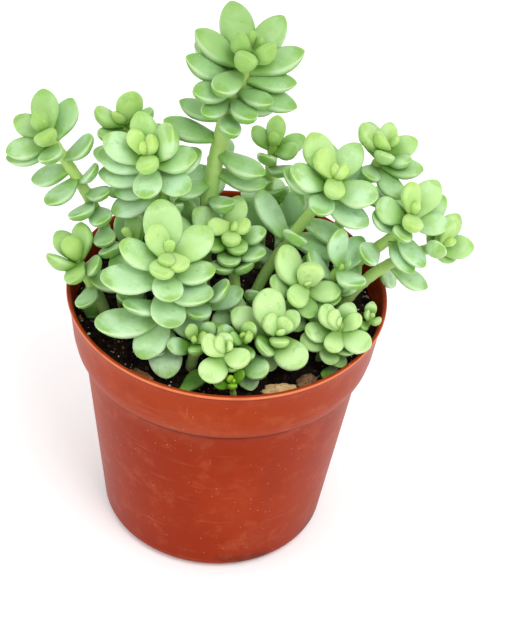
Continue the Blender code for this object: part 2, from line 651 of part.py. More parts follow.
def pot_profile():
    """(radius, height) round the wall's section: outside from the foot to the rim, then back inside."""
    foot = [
        (FOOT_RADIUS - FOOT_CORNER * (1 - math.sin(turn)), FOOT_CORNER * (1 - math.cos(turn)))
        for turn in (0, math.pi / 6, math.pi / 3, math.pi / 2)
    ]
    outside = foot + [
        (NECK_RADIUS, LIP_FOOT_HEIGHT),
        (LIP_FOOT_RADIUS, LIP_FOOT_HEIGHT + 0.2 * MM),
        (42.2 * MM, 63.2 * MM),
        (43.9 * MM, 75 * MM),
        (RIM_RADIUS, POT_HEIGHT - 0.8 * MM),
        (RIM_RADIUS - 0.4 * MM, POT_HEIGHT),
    ]
    inside = [
        (RIM_RADIUS - POT_WALL, POT_HEIGHT - 0.3 * MM),
        (43.9 * MM - POT_WALL, 75 * MM),
        (42.2 * MM - POT_WALL, 64 * MM),
        (NECK_RADIUS - POT_WALL, LIP_FOOT_HEIGHT + 0.4 * MM),
        (FOOT_RADIUS - POT_WALL, FOOT_CORNER),
        (FOOT_RADIUS - FOOT_CORNER, POT_WALL),
    ]
    return outside, inside


def turned(name, profile, sides, surface):
    """A closed solid turned from a profile whose two ends lie on the axis."""
    round_about = np.linspace(0, 2 * np.pi, sides, endpoint=False)
    circle = np.stack([np.cos(round_about), np.sin(round_about)], axis=1)
    rings = [np.column_stack([circle * radius, np.full(sides, height)]) for radius, height in profile]
    return mesh_object(name, np.concatenate(rings), skin_rings(len(rings), sides, 0), surface)


def make_pot():
    """A moulded pot: outside up to the rim and back down inside to its floor, with drain holes."""
    outside, inside = pot_profile()
    pot = turned("pot", outside + inside, POT_SIDES, material("terracotta_plastic", (0.42, 0.07, 0.02), 0.42))
    holes = []
    for k in range(DRAIN_HOLES):
        turn = 2 * math.pi * k / DRAIN_HOLES
        x, y = DRAIN_RING_RADIUS * math.cos(turn), DRAIN_RING_RADIUS * math.sin(turn)
        drill = [(DRAIN_HOLE_RADIUS, -2 * MM), (DRAIN_HOLE_RADIUS, POT_WALL + 2 * MM)]
        hole = turned(f"drain_hole_{k}", drill, 8, pot.data.materials[0])
        hole.location = (x, y, 0)
        holes.append(hole)
    apply_boolean(pot, holes, "DIFFERENCE")
    pot.data.shade_smooth()
    pot.data.set_sharp_from_angle(angle=math.radians(35))


def soil_height(x, y):
    """The surface of the soil: two long waves and two short ones, for crumbs, all below SOIL_CRUMB."""
    long_waves = np.sin(x / (9 * MM) + 1.3) * np.cos(y / (11 * MM) - 0.4)
    crumbs = np.sin(x / (2.9 * MM) + 2 * np.sin(y / (4.1 * MM))) * np.cos(y / (2.6 * MM) + 0.7)
    return SOIL_HEIGHT + SOIL_CRUMB * (0.5 * long_waves + 0.5 * crumbs)


def make_soil(cutters):
    """Soil that fills the pot with a hair's gap, with a hole for each stem and a bed for what lies on it."""
    _, inside = pot_profile()
    wall = [(radius - REST_GAP, height) for radius, height in inside[::-1] if height < SOIL_HEIGHT]
    wall[0] = (wall[0][0], wall[0][1] + REST_GAP)
    edge = 43.9 * MM - POT_WALL - REST_GAP - 0.3 * MM
    round_about = np.linspace(0, 2 * np.pi, POT_SIDES, endpoint=False)
    circle = np.stack([np.cos(round_about), np.sin(round_about)], axis=1)
    rings = [np.column_stack([circle * radius, np.full(POT_SIDES, height)]) for radius, height in wall]
    for ring in range(SOIL_RINGS):
        flat = circle * edge * (1 - ring / SOIL_RINGS)
        rings.append(np.column_stack([flat, soil_height(flat[:, 0], flat[:, 1])]))
    points = np.concatenate(rings + [[[0, 0, soil_height(0, 0)]]])
    faces = skin_rings(len(rings), POT_SIDES, 0, tip=len(points) - 1)
    soil = mesh_object("soil", points, faces, material("peat", (0.016, 0.010, 0.007), 0.95))
    apply_boolean(soil, cutters, "DIFFERENCE")
    keep_largest_body(soil)


def stem_hole(shoot, line):
    """A plain round hole in the soil, about the buried stretch of the stem."""
    radius = shoot["stem"] * MM + STEM_HOLE_GAP
    drill = [(radius, SOIL_HEIGHT - STEM_FOOT - REST_GAP), (radius, SOIL_HEIGHT + 3 * MM)]
    hole = turned("stem_hole", drill, STEM_SIDES, bpy.data.materials["terracotta_plastic"])
    buried = line[line[:, 2] < SOIL_HEIGHT + MM].mean(axis=0)
    hole.location = (buried[0], buried[1], 0)
    return hole


def bed_for(resting):
    """A cutter a hair larger than an object that lies on the soil."""
    bed = resting.copy()
    bed.data = resting.data.copy()
    bpy.context.scene.collection.objects.link(bed)
    work = bmesh.new()
    work.from_mesh(bed.data)
    bmesh.ops.recalc_face_normals(work, faces=work.faces)
    moved = [vert.co + vert.normal * REST_GAP * 1.2 for vert in work.verts]
    for vert, place in zip(work.verts, moved):
        vert.co = place
    work.to_mesh(bed.data)
    work.free()
    return bed


# What lies on the soil, in millimetres: place, size, and turn about the vertical in degrees.
STONES = dict(
    stone_tan=dict(place=(16.5, -35.2, 74.4), size=(9.5, 5.0, 4.6), turn=8, colour=(0.52, 0.33, 0.17)),
    stone_brown=dict(place=(23.5, -29.5, 73.6), size=(6.0, 4.5, 3.6), turn=40, colour=(0.20, 0.11, 0.06)),
    bark=dict(place=(-21.5, -32.0, 73.2), size=(7.5, 4.0, 2.6), turn=-35, colour=(0.16, 0.08, 0.04)),
)
FALLEN_LEAVES = dict(
    fallen_leaf_left=dict(place=(-37.0, -9.6, 73.5), turn=98, rise=9, length=11.0),
    fallen_leaf_front=dict(place=(-10.0, -37.0, 73.9), turn=50, rise=6, length=9.5),
    fallen_leaf_right=dict(place=(31.0, -22.5, 73.9), turn=250, rise=6, length=8.0),
)


def make_stone(name, place, size, turn, colour):
    """A worn lump: a ball with a few flats knocked on by three slow waves."""
    work = bmesh.new()
    bmesh.ops.create_icosphere(work, subdivisions=2, radius=0.5)
    for vert in work.verts:
        x, y, z = vert.co * 9
        vert.co *= 1 + 0.10 * math.sin(x + 1.7 * y) + 0.08 * math.cos(2.1 * z - x) + 0.05 * math.sin(3 * y)
    for vert in work.verts:
        vert.co = [side * MM * value for side, value in zip(size, vert.co)]
    mesh = bpy.data.meshes.new(name)
    work.to_mesh(mesh)
    work.free()
    mesh.materials.append(material(name, colour, 0.85))
    mesh.shade_smooth()
    stone = bpy.data.objects.new(name, mesh)
    stone.location = [value * MM for value in place]
    stone.rotation_euler = (0, 0, math.radians(turn))
    bpy.context.scene.collection.objects.link(stone)
    return stone


def fallen_leaf(place, turn, rise, length):
    """A leaf lying on the soil: its base, the way it points and its upper face."""
    across, up = math.radians(turn), math.radians(rise)
    way = np.array([math.cos(up) * math.cos(across), math.cos(up) * math.sin(across), math.sin(up)])
    face = np.array([-math.sin(up) * math.cos(across), -math.sin(up) * math.sin(across), math.cos(up)])
    leaf = dict(base=np.array(place) * MM, way=way, face=face, length=length * MM, age=1.0)
    return dict(leaf, wide=LEAF_WIDTH, thick=LEAF_THICKNESS, tip=TIP_POWER, neck=NECK_WIDTH)


def make_shoot(name, shoot, line, leaves, mine):
    """One leafy stem, its leaves fused to it."""
    green = material(name + "_leaf", (0.33, 0.52, 0.27), 0.45)
    stem = stem_solid("shoot_" + name, shoot, line, green)
    solids = []
    for number in mine:
        leaf = {key: values[number] for key, values in leaves.items()}
        solids.append(leaf_solid(f"{name}_leaf_{number}", leaf, green))
    apply_boolean(stem, solids, "UNION")
    keep_largest_body(stem)


def main():
    for old in list(bpy.data.objects):
        bpy.data.objects.remove(old)
    make_pot()
    shoots = []
    for written in SHOOTS.values():
        shoot = {**PLAIN_SHOOT, **written}
        shoots.append((shoot, stem_line(shoot)))
    leaves = make_room(grow(shoots), shoots)
    for number, (name, (shoot, line)) in enumerate(zip(SHOOTS, shoots)):
        make_shoot(name, shoot, line, leaves, np.nonzero(leaves["owner"] == number)[0])
    resting = [make_stone(name, **stone) for name, stone in STONES.items()]
    green = material("fallen_leaf", (0.14, 0.30, 0.12), 0.35)
    resting += [leaf_solid(name, fallen_leaf(**leaf), green) for name, leaf in FALLEN_LEAVES.items()]
    make_soil([stem_hole(*shoot) for shoot in shoots] + [bed_for(thing) for thing in resting])


main()
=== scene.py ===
"""A potted burrito sedum: pot, peat, grit and every leafy stem, dressed for a studio photograph.

Metres, +Z up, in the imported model's frame. Each shoot's finer piece grows by the same rule as its solid.
"""

import math

import bmesh
import bpy
import numpy as np
from mathutils import Matrix


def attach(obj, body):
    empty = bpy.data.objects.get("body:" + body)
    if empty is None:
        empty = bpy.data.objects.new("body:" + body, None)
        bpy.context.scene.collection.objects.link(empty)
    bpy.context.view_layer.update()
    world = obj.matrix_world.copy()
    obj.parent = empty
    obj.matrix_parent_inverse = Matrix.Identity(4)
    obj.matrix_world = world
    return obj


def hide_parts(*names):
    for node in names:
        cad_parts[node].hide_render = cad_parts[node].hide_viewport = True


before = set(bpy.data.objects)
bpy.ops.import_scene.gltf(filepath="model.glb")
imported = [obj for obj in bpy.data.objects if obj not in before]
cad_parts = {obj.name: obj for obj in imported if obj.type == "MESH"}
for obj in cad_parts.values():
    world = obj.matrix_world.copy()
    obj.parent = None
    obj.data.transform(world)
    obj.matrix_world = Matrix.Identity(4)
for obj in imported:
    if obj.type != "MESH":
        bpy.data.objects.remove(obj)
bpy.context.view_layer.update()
MM = 0.001


# The pot. One injection-moulded shell of terracotta-coloured plastic: a tapered wall, a deep lip band with a
# rounded edge, a shallow foot ring and six drain holes. It is scuffed and dusty from the potting bench.
POT_HEIGHT = 80 * MM
RIM_RADIUS = 45 * MM
LIP_FOOT_HEIGHT = 61.3 * MM
NECK_RADIUS = 39.7 * MM
FOOT_RADIUS = 32.4 * MM
FOOT_CORNER = 3.8 * MM
POT_WALL = 1.2 * MM
DRAIN_HOLES = 6
DRAIN_HOLE_RADIUS = 2.4 * MM
DRAIN_RING_RADIUS = 20 * MM
POT_ROUND = 160
POT_CORNER_STEPS = 7
DRAIN_HOLE_ROUND = 28
SHARP_EDGE = math.radians(50)


def colour(red, green, blue):
    """The linear colour of a swatch whose channels run from 0 to 255: ((c / 255 + 0.055) / 1.055) ** 2.4.

    The darkest channels, up to 10, are c / 255 / 12.92.
    """
    swatch = np.array([red, green, blue]) / 255
    linear = np.where(swatch > 0.04045, ((swatch + 0.055) / 1.055) ** 2.4, swatch / 12.92)
    return (*map(float, linear), 1.0)


def put(tree, kind, inputs=None, **settings):
    """Adds a shader node, sets its settings, and links or sets its inputs."""
    made = tree.nodes.new("ShaderNode" + kind)
    for name, value in settings.items():
        setattr(made, name, value)
    for name, value in (inputs or {}).items():
        if isinstance(value, bpy.types.NodeSocket):
            tree.links.new(value, made.inputs[name])
        else:
            made.inputs[name].default_value = value
    return made


def attribute(tree, name):
    """A value that is written on the piece's points."""
    return put(tree, "Attribute", attribute_name=name).outputs["Fac"]


def laid_over(tree, mask, below, above):
    """Lays one colour over another where the mask is 1."""
    return put(tree, "Mix", {0: mask, 6: below, 7: above}, data_type="RGBA").outputs[2]


def between(tree, value, low, high, start=0.0, end=1.0):
    """Turns a value into start below low and end above high, smoothly in between."""
    limits = {"Value": value, "From Min": low, "From Max": high, "To Min": start, "To Max": end}
    return put(tree, "MapRange", limits, interpolation_type="SMOOTHSTEP").outputs[0]


def times(tree, first, second):
    """The product of two values."""
    return put(tree, "Math", {0: first, 1: second}, operation="MULTIPLY").outputs[0]


def plus(tree, first, second):
    """The sum of two values."""
    return put(tree, "Math", {0: first, 1: second}, operation="ADD").outputs[0]


def painted(tree, body, mask, strength, *swatch):
    """The body's colour with a swatch laid over it, as strongly as the mask times the strength."""
    return laid_over(tree, times(tree, mask, strength), body, colour(*swatch))


def noise(tree, place, size, detail=2.0, roughness=0.5):
    """Cloudy noise whose clouds are about size metres across."""
    inputs = {"Vector": place, "Scale": 0.5 / size, "Detail": detail, "Roughness": roughness}
    return put(tree, "TexNoise", inputs).outputs["Fac"]


def stretched(tree, place, scale):
    """The place with each axis multiplied, so that a pattern on it is drawn out along the small ones."""
    return put(tree, "Mapping", {"Vector": place, "Scale": scale}).outputs[0]


def new_group(name, takes, gives):
    """A shader node group with named inputs and outputs, and its two end nodes."""
    tree = bpy.data.node_groups.new(name, "ShaderNodeTree")
    for socket, kind, value in takes:
        made = tree.interface.new_socket(socket, in_out="INPUT", socket_type=kind)
        if value is not None:
            made.default_value = value
    for socket in gives:
        tree.interface.new_socket(socket, in_out="OUTPUT", socket_type="NodeSocketFloat")
    return tree, tree.nodes.new("NodeGroupInput"), tree.nodes.new("NodeGroupOutput")


def speck_group():
    """Round specks: the middles of cells that a random draw keeps, from 0 outside to 1 in a speck."""
    takes = [("Place", "NodeSocketVector", None), ("Per metre", "NodeSocketFloat", 500.0)]
    takes += [("Radius", "NodeSocketFloat", 0.2), ("Kept", "NodeSocketFloat", 0.2)]
    tree, start, end = new_group("specks", takes, ["Mask"])
    cells = put(tree, "TexVoronoi", {"Vector": start.outputs["Place"], "Scale": start.outputs["Per metre"]})
    draw = put(tree, "SeparateColor", {"Color": cells.outputs["Color"]}).outputs[0]
    kept = put(tree, "Math", {0: draw, 1: start.outputs["Kept"]}, operation="LESS_THAN").outputs[0]
    soft = times(tree, start.outputs["Radius"], 0.6)
    limits = {"Value": cells.outputs["Distance"], "From Min": start.outputs["Radius"], "From Max": soft}
    inside = put(tree, "MapRange", limits).outputs[0]
    tree.links.new(times(tree, kept, inside), end.inputs["Mask"])
    return tree


def patch_group():
    """Worn or dusty patches: cloudy noise, cut off below a share of the surface with a ragged soft edge."""
    takes = [("Place", "NodeSocketVector", None), ("Size", "NodeSocketFloat", 0.01)]
    takes += [("Bare", "NodeSocketFloat", 0.55), ("Edge", "NodeSocketFloat", 0.12)]
    tree, start, end = new_group("patches", takes, ["Mask"])
    scale = put(tree, "Math", {0: 0.5, 1: start.outputs["Size"]}, operation="DIVIDE").outputs[0]
    inputs = {"Vector": start.outputs["Place"], "Scale": scale, "Detail": 6.0, "Roughness": 0.62}
    cloud = put(tree, "TexNoise", inputs).outputs["Fac"]
    top = plus(tree, start.outputs["Bare"], start.outputs["Edge"])
    limits = {"Value": cloud, "From Min": start.outputs["Bare"], "From Max": top}
    mask = put(tree, "MapRange", limits, interpolation_type="SMOOTHSTEP").outputs[0]
    tree.links.new(mask, end.inputs["Mask"])
    return tree


SPECKS = speck_group()
PATCHES = patch_group()


def specks(tree, place, per_metre, radius, kept):
    """Where specks are: cells to a metre, each speck's radius as a part of a cell, and the share kept."""
    inputs = {"Place": place, "Per metre": per_metre, "Radius": radius, "Kept": kept}
    return put(tree, "Group", inputs, node_tree=SPECKS).outputs[0]


def patches(tree, place, size, bare, edge):
    """Where patches are: their size, the noise that stays bare, and how softly they end."""
    inputs = {"Place": place, "Size": size, "Bare": bare, "Edge": edge}
    return put(tree, "Group", inputs, node_tree=PATCHES).outputs[0]


def new_material(name, **values):
    """A material, its tree, its shader with the values given, and the place on the object."""
    made = bpy.data.materials.new(name)
    made.use_nodes = True
    tree = made.node_tree
    shader = tree.nodes["Principled BSDF"]
    for socket, value in values.items():
        shader.inputs[socket.replace("_", " ")].default_value = value
    return made, tree, shader, put(tree, "TexCoord").outputs["Object"]


def finish_with(tree, shader, tint, roughness=None, height=None, depth=0.0001):
    """Feeds the shader its colour, its roughness and a bump whose full height is depth."""
    tree.links.new(tint, shader.inputs["Base Color"])
    if roughness is not None:
        tree.links.new(roughness, shader.inputs["Roughness"])
    if height is not None:
        bump = put(tree, "Bump", {"Height": height, "Strength": 1.0, "Distance": depth})
        tree.links.new(bump.outputs[0], shader.inputs["Normal"])


def terracotta_plastic():
    """Satin plastic, darker to the foot, with painted light on the lip band, a painted highlight along the
    rim's outer edge, and painted shade on the rim's top, under its edge, inside the pot and under the lip's
    step.

    Over it lie mottling, stains, dust, streaks, scratches, pale grit, dots of soil and a worn foot.
    """
    made, tree, shader, place = new_material(
        "terracotta_plastic", Specular_IOR_Level=0.08, Specular_Tint=(1.0, 0.5, 0.3, 1),
    )
    axes = put(tree, "SeparateXYZ", {"Vector": place}).outputs
    height = axes["Z"]
    flat = put(tree, "CombineXYZ", {"X": axes["X"], "Y": axes["Y"]})
    radial = put(tree, "VectorMath", {0: flat.outputs[0]}, operation="LENGTH").outputs["Value"]

    def fading_in(value, none_at, full_at):
        """0 at one size and 1 at the other, both in millimetres."""
        return between(tree, value, none_at * MM, full_at * MM)

    clouds = noise(tree, place, 22 * MM, 4.0, 0.6)
    body = laid_over(tree, between(tree, clouds, 0.35, 0.7), colour(144, 40, 6), colour(158, 50, 8))
    body = painted(tree, body, fading_in(height, 30, 0), 0.6, 138, 34, 5)
    # Painted light: the lip band is lighter than the wall below it.
    body = painted(tree, body, fading_in(height, 61.2, 63.5), 0.5, 168, 62, 20)
    # Painted shadow: a darker band under the rim's rounded edge, inside and out.
    under_rim_shadow = times(tree, fading_in(height, 78.0, 78.6), fading_in(height, 79.3, 78.9))
    body = painted(tree, body, under_rim_shadow, 0.5, 128, 32, 6)
    # Painted shade: the rim's flat top is darker than the lip.
    rim_top_shade = times(tree, fading_in(height, 79.1, 79.6), fading_in(radial, 44.9, 44.7))
    body = painted(tree, body, rim_top_shade, 0.6, 136, 52, 20)
    # Painted highlight: a bright line along the rim's outer edge.
    rim_edge_highlight = times(tree, fading_in(height, 78.8, 79.2), fading_in(radial, 44.7, 44.9))
    body = painted(tree, body, rim_edge_highlight, 0.75, 236, 140, 96)
    # Painted shade: the inside wall above the soil is darker.
    inside = times(tree, fading_in(radial, 43.5, 43.2), fading_in(height, 72.2, 73.5))
    body = painted(tree, body, inside, 0.6, 104, 36, 12)
    # Painted shadow: a dark line on the wall just under the lip's step.
    lip_step_shadow = times(tree, fading_in(height, 58.8, 60.0), fading_in(height, 61.7, 61.1))
    body = painted(tree, body, lip_step_shadow, 0.75, 74, 18, 8)
    body = painted(tree, body, patches(tree, place, 3.0 * MM, 0.50, 0.16), 0.11, 212, 122, 84)
    body = painted(tree, body, patches(tree, place, 4.2 * MM, 0.56, 0.12), 0.22, 134, 28, 4)
    dust = patches(tree, place, 16 * MM, 0.52, 0.25)
    body = painted(tree, body, dust, 0.10, 206, 142, 116)
    streaks = patches(tree, stretched(tree, place, (1.0, 1.0, 14.0)), 12 * MM, 0.60, 0.10)
    body = painted(tree, body, streaks, 0.09, 214, 150, 122)
    scratches = patches(tree, stretched(tree, place, (1.0, 1.0, 0.05)), 1.1 * MM, 0.66, 0.05)
    scratches = times(tree, scratches, patches(tree, place, 20 * MM, 0.5, 0.1))
    body = painted(tree, body, scratches, 0.12, 222, 160, 132)
    pale_grit = specks(tree, place, 900.0, 0.17, 0.10)
    body = painted(tree, body, pale_grit, 0.42, 232, 196, 176)
    soil_dots = specks(tree, place, 300.0, 0.14, 0.08)
    body = painted(tree, body, soil_dots, 0.6, 84, 34, 20)
    foot_wear = times(tree, patches(tree, place, 6 * MM, 0.50, 0.08), fading_in(height, 8, 1))
    body = painted(tree, body, foot_wear, 0.75, 70, 28, 16)
    roughness = plus(tree, plus(tree, times(tree, dust, 0.16), times(tree, clouds, 0.14)), 0.30)
    grain = noise(tree, place, 0.7 * MM, 2.0)
    waves = noise(tree, place, 9 * MM, 2.0)
    finish_with(tree, shader, body, roughness, plus(tree, grain, times(tree, waves, 3.0)), 0.03 * MM)
    return made


def grid_faces(rows, columns):
    """Quads of a grid whose rows close on themselves, facing out when rows rise and columns turn left."""
    row_start = np.arange(rows - 1)[:, None] * columns
    first = row_start + np.arange(columns)[None]
    beside = row_start + (np.arange(columns)[None] + 1) % columns
    return np.stack([first, beside, beside + columns, first + columns], axis=-1).reshape(-1, 4)


def fan_faces(ring_start, columns, pole, top):
    """Triangles from a ring to a pole above it, or below it."""
    first = ring_start + np.arange(columns)
    beside = ring_start + (np.arange(columns) + 1) % columns
    middle = np.full(columns, pole)
    return np.stack([first, beside, middle] if top else [beside, first, middle], axis=-1)


def closed_faces(rows, columns, bottom_pole, top_pole):
    """The quads of stacked rings, then the fans that close them at a pole below and a pole above."""
    bottom = fan_faces(0, columns, bottom_pole, False)
    top = fan_faces((rows - 1) * columns, columns, top_pole, True)
    return [grid_faces(rows, columns), bottom, top]


def new_piece(name, points, faces, surfaces, smooth=True):
    """A mesh object at the origin from an array of points and a list of arrays of faces."""
    mesh = bpy.data.meshes.new(name)
    mesh.from_pydata(points.reshape(-1, 3).tolist(), [], [face for block in faces for face in block.tolist()])
    for surface in surfaces:
        mesh.materials.append(surface)
    if smooth:
        mesh.shade_smooth()
    made = bpy.data.objects.new(name, mesh)
    bpy.context.scene.collection.objects.link(made)
    return made


def turned_piece(name, profile, sides, surfaces):
    """A profile of (radius, height) turned about the z axis, closed by a pole at each end on the axis."""
    turn = np.linspace(0, 2 * np.pi, sides, endpoint=False)
    profile = np.array(profile)
    radius, height = profile[1:-1, 0, None], profile[1:-1, 1, None]
    rings = np.stack([radius * np.cos(turn), radius * np.sin(turn), height + 0 * turn], axis=-1)
    poles = [[0, 0, profile[0, 1]], [0, 0, profile[-1, 1]]]
    points = np.concatenate([rings.reshape(-1, 3), poles])
    faces = closed_faces(len(rings), sides, len(points) - 2, len(points) - 1)
    return new_piece(name, points, faces, surfaces)


def pot_section():
    """(radius, height) round the wall: under the foot, up the outside, over the rim and down the inside."""
    turn = np.linspace(0, np.pi / 2, POT_CORNER_STEPS)
    corner = np.stack([FOOT_RADIUS - FOOT_CORNER * (1 - np.sin(turn)), FOOT_CORNER * (1 - np.cos(turn))], 1)
    share = np.linspace(0, 1, 10)[1:-1, None]
    wall = corner[-1] * (1 - share) + np.array([NECK_RADIUS, LIP_FOOT_HEIGHT - 0.5 * MM]) * share
    under = np.array([(0, 0.5), (22.6, 0.5), (23.6, 0.35), (24.2, 0.0)]) * MM
    lip = np.array([
        (39.7, 60.95), (39.85, 61.3), (40.9, 61.45), (41.6, 61.95), (42.1, 63.0), (42.8, 66), (43.35, 70.5),
        (43.9, 75), (44.55, 78.2), (44.95, 79.2), (44.95, 79.65), (44.7, 79.95), (44.35, 80.0),
    ]) * MM
    inside = np.array([
        (43.95, 79.85), (43.7, 79.4), (43.5, 78.4), (42.7, 75), (42.1, 70.5), (41.5, 66), (40.9, 63.6),
        (38.6, 61.6), (38.3, 60.5), (34.8, 33), (31.3, 4.2), (30.6, 2.2), (28.8, 1.25), (0, 1.2),
    ]) * MM
    return np.concatenate([under, corner, wall, lip, inside])


pot = turned_piece("pot_shell", pot_section(), POT_ROUND, [terracotta_plastic()])
for k in range(DRAIN_HOLES):
    turn = 2 * math.pi * k / DRAIN_HOLES
    low, high = -1 * MM, 3 * MM
    bit = [(0, low), (DRAIN_HOLE_RADIUS, low), (DRAIN_HOLE_RADIUS, high), (0, high)]
    drill = turned_piece("drill", bit, DRAIN_HOLE_ROUND, [])
    away = (DRAIN_RING_RADIUS * math.cos(turn), DRAIN_RING_RADIUS * math.sin(turn), 0)
    drill.data.transform(Matrix.Translation(away))
    cut = pot.modifiers.new("drain hole", "BOOLEAN")
    cut.operation, cut.object, cut.solver = "DIFFERENCE", drill, "EXACT"
    bpy.context.view_layer.update()
    drilled = bpy.data.meshes.new_from_object(pot.evaluated_get(bpy.context.evaluated_depsgraph_get()))
    pot.modifiers.clear()
    pot.data = drilled
    bpy.data.objects.remove(drill)
pot.data.shade_smooth()
pot.data.set_sharp_from_angle(angle=SHARP_EDGE)
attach(pot, "root")
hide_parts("pot")


# The soil. Dark peat, pressed into the pot to a few millimetres under its rim. It fills the pot down to the
# base, and its top is crumbly, with lumps of three sizes on the solid's own waves.
SOIL_HEIGHT = 72.5 * MM
SOIL_CRUMB = 0.55 * MM
SOIL_EDGE = 42.05 * MM
SOIL_ROUND = 200
SOIL_STEPS = 70


def lumps(x, y, size, seed):
    """Smooth random lumps: a height from 0 to 1 at each corner of a square lattice, blended in between."""
    column, row = np.floor(x / size), np.floor(y / size)
    across, up = x / size - column, y / size - row
    across, up = across**2 * (3 - 2 * across), up**2 * (3 - 2 * up)

    def corner(right, above):
        value = np.sin((column + right) * 127.1 + (row + above) * 311.7 + seed * 74.7) * 43758.5453
        return value - np.floor(value)

    low = corner(0, 0) * (1 - across) + corner(1, 0) * across
    high = corner(0, 1) * (1 - across) + corner(1, 1) * across
    return low * (1 - up) + high * up


def soil_height(x, y):
    """The surface of the soil: two long waves and two short ones, for crumbs, all below SOIL_CRUMB."""
    long_waves = np.sin(x / (9 * MM) + 1.3) * np.cos(y / (11 * MM) - 0.4)
    crumbs = np.sin(x / (2.9 * MM) + 2 * np.sin(y / (4.1 * MM))) * np.cos(y / (2.6 * MM) + 0.7)
    return SOIL_HEIGHT + SOIL_CRUMB * (0.5 * long_waves + 0.5 * crumbs)


def crumbly_height(x, y):
    """The soil's waves with crumbs of three sizes pressed into them."""
    large, middling = lumps(x, y, 2.3 * MM, 1), lumps(x, y, 1.1 * MM, 2)
    crumbs = 0.9 * large + 0.6 * middling + 0.35 * lumps(x, y, 0.55 * MM, 3)
    return soil_height(x, y) + MM * (crumbs - 1.15)


def peat():
    """Near-black peat in soft clouds, with brown and pale specks."""
    made, tree, shader, place = new_material("peat", Roughness=0.95, Specular_IOR_Level=0.15)
    clouds = noise(tree, place, 1.2 * MM, 5.0, 0.7)
    body = laid_over(tree, between(tree, clouds, 0.35, 0.68), colour(15, 11, 9), colour(44, 31, 23))
    body = painted(tree, body, specks(tree, place, 700.0, 0.35, 0.12), 0.8, 112, 78, 52)
    body = laid_over(tree, specks(tree, place, 900.0, 0.22, 0.05), body, colour(214, 206, 192))
    finish_with(tree, shader, body, None, clouds, 0.4 * MM)
    return made


ring_share = np.linspace(1, 0.004, SOIL_STEPS)[:, None]
turn = np.linspace(0, 2 * np.pi, SOIL_ROUND, endpoint=False)
x, y = ring_share * SOIL_EDGE * np.cos(turn), ring_share * SOIL_EDGE * np.sin(turn)
top = np.stack([x, y, crumbly_height(x, y)], axis=-1)
sides = np.array([(28.0, 1.6), (30.6, 4.2), (38.0, 61.9), (40.3, 64.1), (41.9, 71.2)]) * MM
wall = np.stack([
    sides[:, 0, None] * np.cos(turn), sides[:, 0, None] * np.sin(turn), sides[:, 1, None] + 0 * turn,
], axis=-1)
rings = np.concatenate([wall, top])
points = np.concatenate([rings.reshape(-1, 3), [[0, 0, 1.6 * MM], [0, 0, float(crumbly_height(0.0, 0.0))]]])
faces = closed_faces(len(rings), SOIL_ROUND, len(points) - 2, len(points) - 1)
soil = new_piece("peat_fill", points, faces, [peat()])
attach(soil, "root")
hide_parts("soil")


# The loose bits on the soil. Crumbs of peat, tan shreds of bark and white grains of perlite lie scattered,
# most of all along the wall.
SCATTER_REACH = 41.4 * MM


def scattered(name, count, seed, smallest, largest, flatness, to_wall, surface):
    """Small ragged lumps, half sunk in the soil: a 20-sided ball for each, squashed, turned and dented.

    Sizes are in millimetres, with many more small ones than large. to_wall is 0 for lumps spread evenly and
    1 for all of them at the wall.
    """
    draw = np.random.default_rng(seed)
    work = bmesh.new()
    bmesh.ops.create_icosphere(work, subdivisions=1, radius=1.0)
    ball = np.array([vert.co for vert in work.verts])
    sides = np.array([[vert.index for vert in face.verts] for face in work.faces])
    work.free()
    radius = SCATTER_REACH * draw.random(count) ** (0.5 * (1 - to_wall))
    around = draw.random(count) * 2 * np.pi
    x, y = radius * np.cos(around), radius * np.sin(around)
    size = (smallest + (largest - smallest) * draw.random(count) ** 2.5) * MM / 2
    stretch = size[:, None] * (1 + 0.5 * (draw.random((count, 3)) - 0.5)) * [1, 0.8, flatness]
    dents = 1 + 0.35 * (draw.random((count, len(ball))) - 0.5)
    shape = ball[None] * dents[..., None] * stretch[:, None]
    spin = draw.random(count) * 2 * np.pi
    cos, sin = np.cos(spin)[:, None], np.sin(spin)[:, None]
    across, along = shape[..., 0], shape[..., 1]
    turned = np.stack([across * cos - along * sin, across * sin + along * cos, shape[..., 2]], axis=-1)
    lean = (draw.random(count) - 0.5) * 0.9
    turned[..., 2] += turned[..., 0] * np.sin(lean)[:, None]
    base = np.stack([x, y, crumbly_height(x, y) + stretch[:, 2] * 0.35], axis=-1)
    points = turned + base[:, None]
    faces = sides[None] + (np.arange(count) * len(ball))[:, None, None]
    made = new_piece(name, points, [faces.reshape(-1, 3)], [surface])
    values = made.data.attributes.new("draw", "FLOAT", "POINT")
    values.data.foreach_set("value", np.repeat(draw.random(count), len(ball)).astype(np.float32))
    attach(made, "root")
    return made


def crumb_colours(name, dark, middle, light, roughness):
    """A material that runs through three colours by each crumb's random draw."""
    made, tree, shader, place = new_material(name, Roughness=roughness, Specular_IOR_Level=0.2)
    drawn = attribute(tree, "draw")
    body = laid_over(tree, between(tree, drawn, 0.0, 0.6), colour(*dark), colour(*middle))
    body = laid_over(tree, between(tree, drawn, 0.7, 1.0), body, colour(*light))
    cloud = noise(tree, place, 0.5 * MM, 3.0)
    body = painted(tree, body, between(tree, cloud, 0.4, 0.7), 0.35, *dark)
    finish_with(tree, shader, body, None, cloud, 0.1 * MM)
    return made


crumbs = scattered("peat_crumbs", 1500, 3, 0.5, 2.4, 0.7, 0.15,
                   crumb_colours("crumb", (13, 10, 8), (32, 23, 17), (72, 50, 35), 0.95))
shreds = scattered("bark_shreds", 240, 4, 0.6, 2.6, 0.35, 0.35,
                   crumb_colours("shred", (84, 56, 34), (132, 94, 58), (178, 140, 94), 0.85))
scattered("perlite", 130, 5, 0.35, 1.3, 0.85, 0.75,
          crumb_colours("perlite_white", (176, 168, 156), (226, 222, 212), (244, 242, 236), 0.8))


